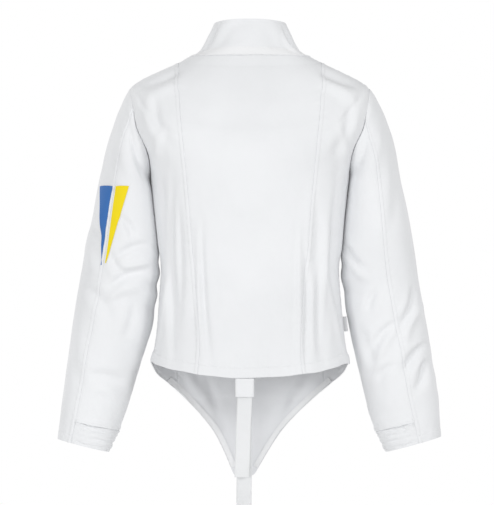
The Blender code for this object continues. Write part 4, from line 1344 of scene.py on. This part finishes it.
def make_stripes():
    at = on_arm("left")
    for stripe, material in zip(STRIPES, (BLUE_CLOTH, YELLOW_CLOTH)):
        near = SLEEVE_BACK_SEAM["left"] + stripe.sign * STRIPE_SEAM_GAP
        rows = []
        for part in spread(0, 1, 40):
            z = STRIPE_TOP_Z + (stripe.foot_z - STRIPE_TOP_Z) * part
            far = arm_place("left", stripe.top_x + (stripe.foot_x - stripe.top_x) * part, z)
            row = level_where(lambda row: arm_plain("left", near, row)[2] > z, 1.0, 8.0)
            rows.append(between((near, row), tuple(far), 12))
        finishes = {edge: HIDDEN for edge in EDGES}
        obj, _, cut = make_panel(stripe.name, at, rows, material, finishes, STRIPE_HEIGHT, STRIPE_WALL)
        declare(obj, [])


# Zip
TAPE_HALF = 14.0
TOOTH_PITCH = 2.5
TOOTH_SIZE = (2.9, 1.5, 1.3)


def zip_places():
    levels = [0.1] + list(LOW_LEVELS[1:]) + [7.8, 8.6, 9.4, 10.3, 11, 12.1, 13.2, 14.1, 14.7, NECK_LEVEL]
    return finer(levels, 5), spread(0.0, ZIP_COLLAR_END, 20)[1:]


def zip_line(x):
    """Points and normals up the front at this distance from its middle."""
    side = 1 if x >= 0 else -1
    body_levels, collar_levels = zip_places()
    places = np.array([(side * across_at(level, abs(x), front=True), level) for level in body_levels])
    collar_parts = np.array([(side * collar_across(level, abs(x)), level) for level in collar_levels])
    points, normals = on_body(places[:, 0], places[:, 1])
    upper, upper_normals = on_collar(collar_parts[:, 0], collar_parts[:, 1])
    return np.concatenate([points, upper]), np.concatenate([normals, upper_normals])


def make_zip_tape():
    columns = [zip_line(x) for x in (-14, -10.5, -7, -3.5, 0.01, 3.5, 7, 10.5, 14)]
    points = np.stack([column[0] for column in columns], 1)
    normals = np.stack([column[1] for column in columns], 1)
    outer = points - normals * 2.1
    obj = shell("woven_zip_tape", outer, outer - normals * 0.8, WHITE_TAPE, 0.0)
    declare(obj, ["zip_tape"])


def line_object(name, lines):
    """A mesh of bare lines for the node trees to follow."""
    points, edges = [], []
    for line in lines:
        if len(line) < 2:
            continue
        first = len(points)
        points += [tuple(p) for p in np.asarray(line) * MM]
        edges += [(first + i, first + i + 1) for i in range(len(line) - 1)]
    mesh = bpy.data.meshes.new(name)
    mesh.from_pydata(points, edges, [])
    obj = bpy.data.objects.new(name, mesh)
    bpy.context.scene.collection.objects.link(obj)
    return obj


def along_lines_tree(name, shape):
    """A tree that puts a shape at an even pitch along bare lines, turned along them."""
    tree = bpy.data.node_groups.new(name, "GeometryNodeTree")
    socket(tree, "Geometry", "INPUT", "NodeSocketGeometry")
    socket(tree, "Pitch", "INPUT", value=0.003)
    socket(tree, "Length", "INPUT", value=0.0022)
    socket(tree, "Width", "INPUT", value=0.0005)
    socket(tree, "Height", "INPUT", value=0.0004)
    socket(tree, "Finish", "INPUT", "NodeSocketMaterial")
    socket(tree, "Geometry", "OUTPUT", "NodeSocketGeometry")
    nodes, links = tree.nodes, tree.links
    start, end = nodes.new("NodeGroupInput"), nodes.new("NodeGroupOutput")
    curve = nodes.new("GeometryNodeMeshToCurve")
    links.new(start.outputs["Geometry"], curve.inputs["Mesh"])
    even = nodes.new("GeometryNodeResampleCurve")
    even.mode = "LENGTH"
    links.new(curve.outputs["Curve"], even.inputs["Curve"])
    links.new(start.outputs["Pitch"], even.inputs["Length"])
    if shape == "stitch":
        body_shape = nodes.new("GeometryNodeMeshUVSphere")
        body_shape.inputs["Segments"].default_value = 5
        body_shape.inputs["Rings"].default_value = 4
        body_shape.inputs["Radius"].default_value = 0.5
        turned = nodes.new("GeometryNodeTransform")
        turned.inputs["Rotation"].default_value = (0.0, pi / 2, 0.0)
        links.new(body_shape.outputs["Mesh"], turned.inputs["Geometry"])
        made = turned.outputs["Geometry"]
    else:
        body_shape = nodes.new("GeometryNodeMeshCube")
        body_shape.inputs["Size"].default_value = (1.0, 1.0, 1.0)
        made = body_shape.outputs["Mesh"]
    size = nodes.new("ShaderNodeCombineXYZ")
    for axis, named in zip("XYZ", ("Length", "Width", "Height")):
        links.new(start.outputs[named], size.inputs[axis])
    sized = nodes.new("GeometryNodeTransform")
    links.new(made, sized.inputs["Geometry"])
    links.new(size.outputs[0], sized.inputs["Scale"])
    tangent = nodes.new("GeometryNodeInputTangent")
    turn = nodes.new("FunctionNodeAlignRotationToVector")
    turn.axis = "X"
    links.new(tangent.outputs[0], turn.inputs["Vector"])
    uneven = nodes.new("FunctionNodeRandomValue")
    uneven.data_type = "FLOAT"
    uneven.inputs["Min"].default_value = 0.9
    uneven.inputs["Max"].default_value = 1.06
    uneven.inputs["Seed"].default_value = SEED
    placed = nodes.new("GeometryNodeInstanceOnPoints")
    links.new(even.outputs["Curve"], placed.inputs["Points"])
    links.new(sized.outputs["Geometry"], placed.inputs["Instance"])
    links.new(turn.outputs["Rotation"], placed.inputs["Rotation"])
    links.new(uneven.outputs[1], placed.inputs["Scale"])
    real = nodes.new("GeometryNodeRealizeInstances")
    links.new(placed.outputs["Instances"], real.inputs["Geometry"])
    painted = nodes.new("GeometryNodeSetMaterial")
    links.new(real.outputs["Geometry"], painted.inputs["Geometry"])
    links.new(start.outputs["Finish"], painted.inputs["Material"])
    links.new(painted.outputs["Geometry"], end.inputs["Geometry"])
    return tree


def input_id(tree, name):
    return next(item.identifier for item in tree.interface.items_tree if item.name == name and item.in_out == "INPUT")


def follow_lines(name, lines, tree, material, pitch, length, width, height):
    """The tree's result along these lines as a plain mesh object."""
    source = line_object(name + "_lines", lines)
    modifier = source.modifiers.new("along", "NODES")
    modifier.node_group = tree
    for label, value in (("Pitch", pitch), ("Length", length), ("Width", width), ("Height", height)):
        modifier[input_id(tree, label)] = value * MM
    modifier[input_id(tree, "Finish")] = material
    bpy.context.view_layer.update()
    graph = bpy.context.evaluated_depsgraph_get()
    mesh = bpy.data.meshes.new_from_object(source.evaluated_get(graph), depsgraph=graph)
    bpy.data.objects.remove(source, do_unlink=True)
    mesh.name = name
    if not mesh.materials:
        mesh.materials.append(material)
    obj = bpy.data.objects.new(name, mesh)
    mesh.shade_smooth()
    bpy.context.scene.collection.objects.link(obj)
    return obj


def make_stitches(tree):
    """All the seam stitching, in one piece for each group of panels."""
    names = ("stitches_back", "stitches_front", "stitches_collar", "stitches_sleeves", "stitches_strap")
    groups = {name: [] for name in names}
    for name, lines in made_stitches.items():
        for key, words in (
            ("stitches_back", ("back",)),
            ("stitches_front", ("front", "tail")),
            ("stitches_collar", ("collar", "neck")),
            ("stitches_sleeves", ("sleeve", "cuff")),
            ("stitches_strap", ("strap",)),
        ):
            if any(word in name for word in words):
                groups[key] += [line for line in lines if len(line) > 1]
                break
    for name, lines in groups.items():
        obj = follow_lines(name, lines, tree, WHITE_THREAD, 3.0, 2.3, 0.5, 0.42)
        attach(obj, "jacket")


BARTACK_STARTS = {"left": (65.0, 11.34), "right": (82.5, 11.28)}
BARTACK_ROWS = {"left": 0.12, "right": 0.22}


def make_bartacks(tree):
    """Short dense bars of thread where each cuff's tuck meets the sleeve's seam."""
    lines = []
    for side, (angle, row) in BARTACK_STARTS.items():
        rows = np.linspace(row, row + BARTACK_ROWS[side], 12)
        points, normals = on_arm(side)(np.full(12, angle), rows)
        lines.append(points + normals * 1.1)
    obj = follow_lines("bartacks", lines, tree, WHITE_THREAD, 0.6, 0.55, 2.2, 0.6)
    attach(obj, "jacket")


def make_zip_chain(tree):
    rows = []
    for x in (-1.35, 1.35):
        points, normals = zip_line(x)
        rows.append(points - normals * 0.75)
    lines = [rows[0], rows[1][1:]]
    teeth = follow_lines("zip_teeth", lines, tree, WHITE_COIL, TOOTH_PITCH, *TOOTH_SIZE[::-1])
    teeth.modifiers.new("rounding", "BEVEL").width = 0.25 * MM
    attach(teeth, "jacket")
    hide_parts("zip_chain")


# Crotch strap, its loop and the side label
def make_strap():
    columns = [[(i, stop[axis]) for i, stop in enumerate(STRAP_ROUTE)] for axis in range(3)]
    places = np.array(spread(0, len(STRAP_ROUTE) - 1, 20 * (len(STRAP_ROUTE) - 1)))
    centre = np.stack([smooth(column, places) for column in columns], -1)
    along = np.gradient(centre, axis=0)
    outward = np.stack([np.zeros(len(along)), along[:, 2], -along[:, 1]], -1)
    outward /= np.linalg.norm(outward, axis=1, keepdims=True)
    run = lengths_along(centre)
    half, wall = STRAP_WIDTH / 2, STRAP_WALL / 2
    stops = np.array((-1.0, -0.96, -0.75, -0.5, -0.25, 0, 0.25, 0.5, 0.75, 0.96, 1.0))
    thick = np.array((0.35, 0.9, 1, 1, 1, 1, 1, 1, 1, 0.9, 0.35)) * wall
    sway = 0.35 * np.sin(run / 31.0) + 0.25 * np.sin(run / 13.0 + 1.0)
    # Slanting crinkles, strong where the strap hangs free and gone at its two ends and in the loop
    free = clip((run - 25.0) / 20.0) * clip((run[-1] - 18.0 - run) / 12.0) * clip((-562.0 - centre[:, 2]) / 12.0)
    slant = run[:, None] + 5.0 * stops[None, :]
    crinkle = 0.3 * np.sin(slant / 5.3) * np.sin(slant / 17.0 + 0.7) + 0.22 * np.sin(slant / 2.9 + 1.9 * stops[None, :])
    crinkle = crinkle * free[:, None]
    grids = []
    for sign in (1, -1):
        grid = centre[:, None, :] + outward[:, None, :] * ((sign * thick)[None, :] + crinkle)[..., None]
        grid = grid + np.array((half, 0, 0)) * stops[None, :, None]
        grid[..., 0] += sway[:, None]
        grids.append(grid)
    obj = shell("webbing_crotch_strap", grids[0], grids[1], WHITE_WEBBING, 0.0)
    declare(obj, ["crotch_strap"])
    made_stitches["strap_start"] = strap_box(grids[0], outward, run, *STRAP_START_BOX)
    made_stitches["strap_end"] = strap_box(grids[1], -outward, run, run[-1] - STRAP_END_BOX[1], run[-1] - STRAP_END_BOX[0])


STRAP_START_BOX = (3.0, 19.0)  # along the strap from its sewn end
STRAP_END_BOX = (4.0, 11.0)  # along the strap from its free end
BOX_EDGE_COLUMNS = (2, 8)


def strap_box(grid, facing_way, run, near, far):
    """A box of stitches across the strap between two places along it."""
    low, high = np.searchsorted(run, near), np.searchsorted(run, far)
    raised = grid + facing_way[:, None, :] * 0.1
    left, right = BOX_EDGE_COLUMNS
    return [
        raised[low, left : right + 1],
        raised[high, left : right + 1],
        raised[low : high + 1, left],
        raised[low : high + 1, right],
    ]


LOOP_CENTRE_X = 8.5
LOOP_WIDTH = 30.0
LOOP_WALL = 1.2
LOOP_ROWS = ((-515.8, 95.7, 102.4), (-519, 95.2, 103.4), (-530, 94.2, 104.2), (-541, 93.2, 105.0), (-544.6, 93.2, 105.0))


LOOP_STITCH_ROWS = ((-520.5, 103.75), (-541.0, 105.15))  # height, and how far back


def make_strap_loop():
    """A flat cloth tube under the back hem, rounded at its folds."""
    rings_outer, rings_inner = [], []
    count = 48
    for z, near, far in LOOP_ROWS:
        for rings, drawn in ((rings_outer, 0.0), (rings_inner, LOOP_WALL)):
            half, middle, deep = LOOP_WIDTH / 2 - drawn, (near + far) / 2, (far - near) / 2 - drawn
            turn = np.linspace(0, 2 * pi, count, endpoint=False)
            x = half * np.sign(np.cos(turn)) * np.abs(np.cos(turn)) ** 0.35
            y = deep * np.sign(np.sin(turn)) * np.abs(np.sin(turn)) ** 0.6
            rings.append(np.stack([LOOP_CENTRE_X + x, middle + y, np.full(count, z)], -1))
    layers = [np.array(rings_outer), np.array(rings_inner)]
    points = np.concatenate([layer.reshape(-1, 3) for layer in layers]) * MM
    rows, faces = len(LOOP_ROWS), []
    total = rows * count
    for i in range(rows - 1):
        for j in range(count):
            k = (j + 1) % count
            a, b, c, d = i * count + j, i * count + k, (i + 1) * count + k, (i + 1) * count + j
            faces += [(a, d, c, b), (a + total, b + total, c + total, d + total)]
    for i in (0, rows - 1):
        for j in range(count):
            k = (j + 1) % count
            a, b = i * count + j, i * count + k
            faces.append((a, b, b + total, a + total) if i == 0 else (b, a, a + total, b + total))
    mesh = bpy.data.meshes.new("cloth_strap_loop")
    mesh.from_pydata(points.tolist(), [], faces)
    layer = mesh.uv_layers.new(name="cloth_map")
    for loop in mesh.loops:
        point = mesh.vertices[loop.vertex_index].co
        layer.data[loop.index].uv = (point.x, point.z)
    made = bmesh.new()
    made.from_mesh(mesh)
    bmesh.ops.recalc_face_normals(made, faces=made.faces)
    made.to_mesh(mesh)
    made.free()
    obj = add_object("cloth_strap_loop", mesh, WHITE_CLOTH)
    for z, far in LOOP_STITCH_ROWS:
        stops = np.linspace(-0.42, 0.42, 24) * LOOP_WIDTH
        line = np.stack([LOOP_CENTRE_X + stops, np.full(24, far), np.full(24, z)], -1)
        made_stitches[f"strap_loop_{z}"] = [line]
    declare(obj, ["strap_loop"])


def cad_copy(node, name, material, body_name="jacket"):
    """A copy of a small solid, its doubled points merged, smooth shaded with its sharp edges kept."""
    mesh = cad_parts[node].data.copy()
    made = bmesh.new()
    made.from_mesh(mesh)
    bmesh.ops.remove_doubles(made, verts=made.verts, dist=1e-5)
    made.to_mesh(mesh)
    made.free()
    mesh.materials.clear()
    obj = bpy.data.objects.new(name, mesh)
    mesh.materials.append(material)
    mesh.shade_smooth()
    mesh.set_sharp_from_angle(angle=radians(35))
    if "cloth_map" not in mesh.uv_layers:
        layer = mesh.uv_layers.new(name="cloth_map")
        for loop in mesh.loops:
            point = mesh.vertices[loop.vertex_index].co
            layer.data[loop.index].uv = (point.x + point.y, point.z)
    bpy.context.scene.collection.objects.link(obj)
    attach(obj, body_name)
    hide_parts(node)
    return obj


# Floor, light and camera
FLOOR_Z = -0.80
FLOOR_SOLID = 0.4
FLOOR_FADED = 1.15
ROOM_LIGHT = 0.6
Light = namedtuple("Light", "name place size power")
LIGHTS = (
    Light("back_key_softbox", (-2.8, 3.3, 1.0), 1.0, 45.0),
    Light("back_fill_softbox", (2.6, 3.5, -0.45), 1.0, 38.5),
    Light("back_middle_softbox", (0.3, 4.7, -0.2), 0.9, 27.0),
    Light("front_key_softbox", (2.9, -3.2, 1.1), 0.8, 46.0),
    Light("front_fill_softbox", (-2.5, -3.6, -0.4), 1.2, 28.0),
)


def make_stage():
    """A pale floor that fades out into the white studio, and large soft lights."""
    mesh = bpy.data.meshes.new("floor")
    made = bmesh.new()
    bmesh.ops.create_circle(made, cap_ends=True, segments=64, radius=FLOOR_FADED)
    bmesh.ops.translate(made, vec=(0, 0, FLOOR_Z), verts=made.verts)
    made.to_mesh(mesh)
    made.free()
    material = bpy.data.materials.new("pale_floor")
    material.use_nodes = True
    tree = material.node_tree
    shader = tree.nodes["Principled BSDF"]
    shader.inputs["Base Color"].default_value = (0.9, 0.9, 0.9, 1)
    shader.inputs["Roughness"].default_value = 0.9
    place = tree.nodes.new("ShaderNodeTexCoord")
    level = tree.nodes.new("ShaderNodeVectorMath")
    level.operation = "MULTIPLY"
    level.inputs[1].default_value = (1, 1, 0)
    tree.links.new(place.outputs["Object"], level.inputs[0])
    away = tree.nodes.new("ShaderNodeVectorMath")
    away.operation = "LENGTH"
    tree.links.new(level.outputs[0], away.inputs[0])
    fade = tree.nodes.new("ShaderNodeMapRange")
    fade.interpolation_type = "SMOOTHSTEP"
    for label, value in (("From Min", FLOOR_SOLID), ("From Max", FLOOR_FADED), ("To Min", 1.0), ("To Max", 0.0)):
        fade.inputs[label].default_value = value
    tree.links.new(away.outputs["Value"], fade.inputs["Value"])
    tree.links.new(fade.outputs[0], shader.inputs["Alpha"])
    mesh.materials.append(material)
    floor = bpy.data.objects.new("floor", mesh)
    bpy.context.scene.collection.objects.link(floor)

    world = bpy.data.worlds.new("studio")
    world.use_nodes = True
    tree = world.node_tree
    background = tree.nodes["Background"]
    background.inputs["Color"].default_value = (1, 1, 1, 1)
    seen = tree.nodes.new("ShaderNodeLightPath")
    strength = tree.nodes.new("ShaderNodeMapRange")
    strength.inputs["To Min"].default_value = ROOM_LIGHT
    strength.inputs["To Max"].default_value = 1.0
    tree.links.new(seen.outputs["Is Camera Ray"], strength.inputs["Value"])
    tree.links.new(strength.outputs[0], background.inputs["Strength"])
    bpy.context.scene.world = world
    for name, place, size, power in LIGHTS:
        light = bpy.data.lights.new(name, "AREA")
        light.energy, light.size = power, size
        lamp = bpy.data.objects.new(name, light)
        lamp.location = place
        lamp.rotation_euler = (Vector((0, 0, -0.3)) - Vector(place)).to_track_quat("-Z", "Y").to_euler()
        bpy.context.scene.collection.objects.link(lamp)


def make_camera():
    camera = bpy.data.cameras.new("camera")
    camera.sensor_fit = "HORIZONTAL"
    camera.sensor_width = 36.0
    camera.lens = 271.5
    obj = bpy.data.objects.new("camera", camera)
    obj.location = (0.0048, 6.0, -0.316)
    obj.rotation_euler = (pi / 2, 0, pi)
    bpy.context.scene.collection.objects.link(obj)
    bpy.context.scene.camera = obj
    bpy.context.scene.view_settings.view_transform = "Standard"


make_back()
make_front()
make_tail_hems()
make_collar()
for sleeve_side, sleeve_seed in (("left", 20), ("right", 30)):
    make_sleeve(sleeve_side, sleeve_seed)
make_stripes()
make_zip_tape()
STITCH_TREE = along_lines_tree("stitch_row", "stitch")
make_strap()
make_strap_loop()
make_stitches(STITCH_TREE)
make_bartacks(STITCH_TREE)
make_zip_chain(along_lines_tree("zip_teeth_row", "tooth"))
cad_copy("side_label", "woven_side_label", WHITE_TAPE)
cad_copy("zip_slider", "metal_zip_slider", ZIP_METAL)
cad_copy("zip_pull", "metal_zip_pull", ZIP_METAL, "zip_pull")
make_stage()
make_camera()
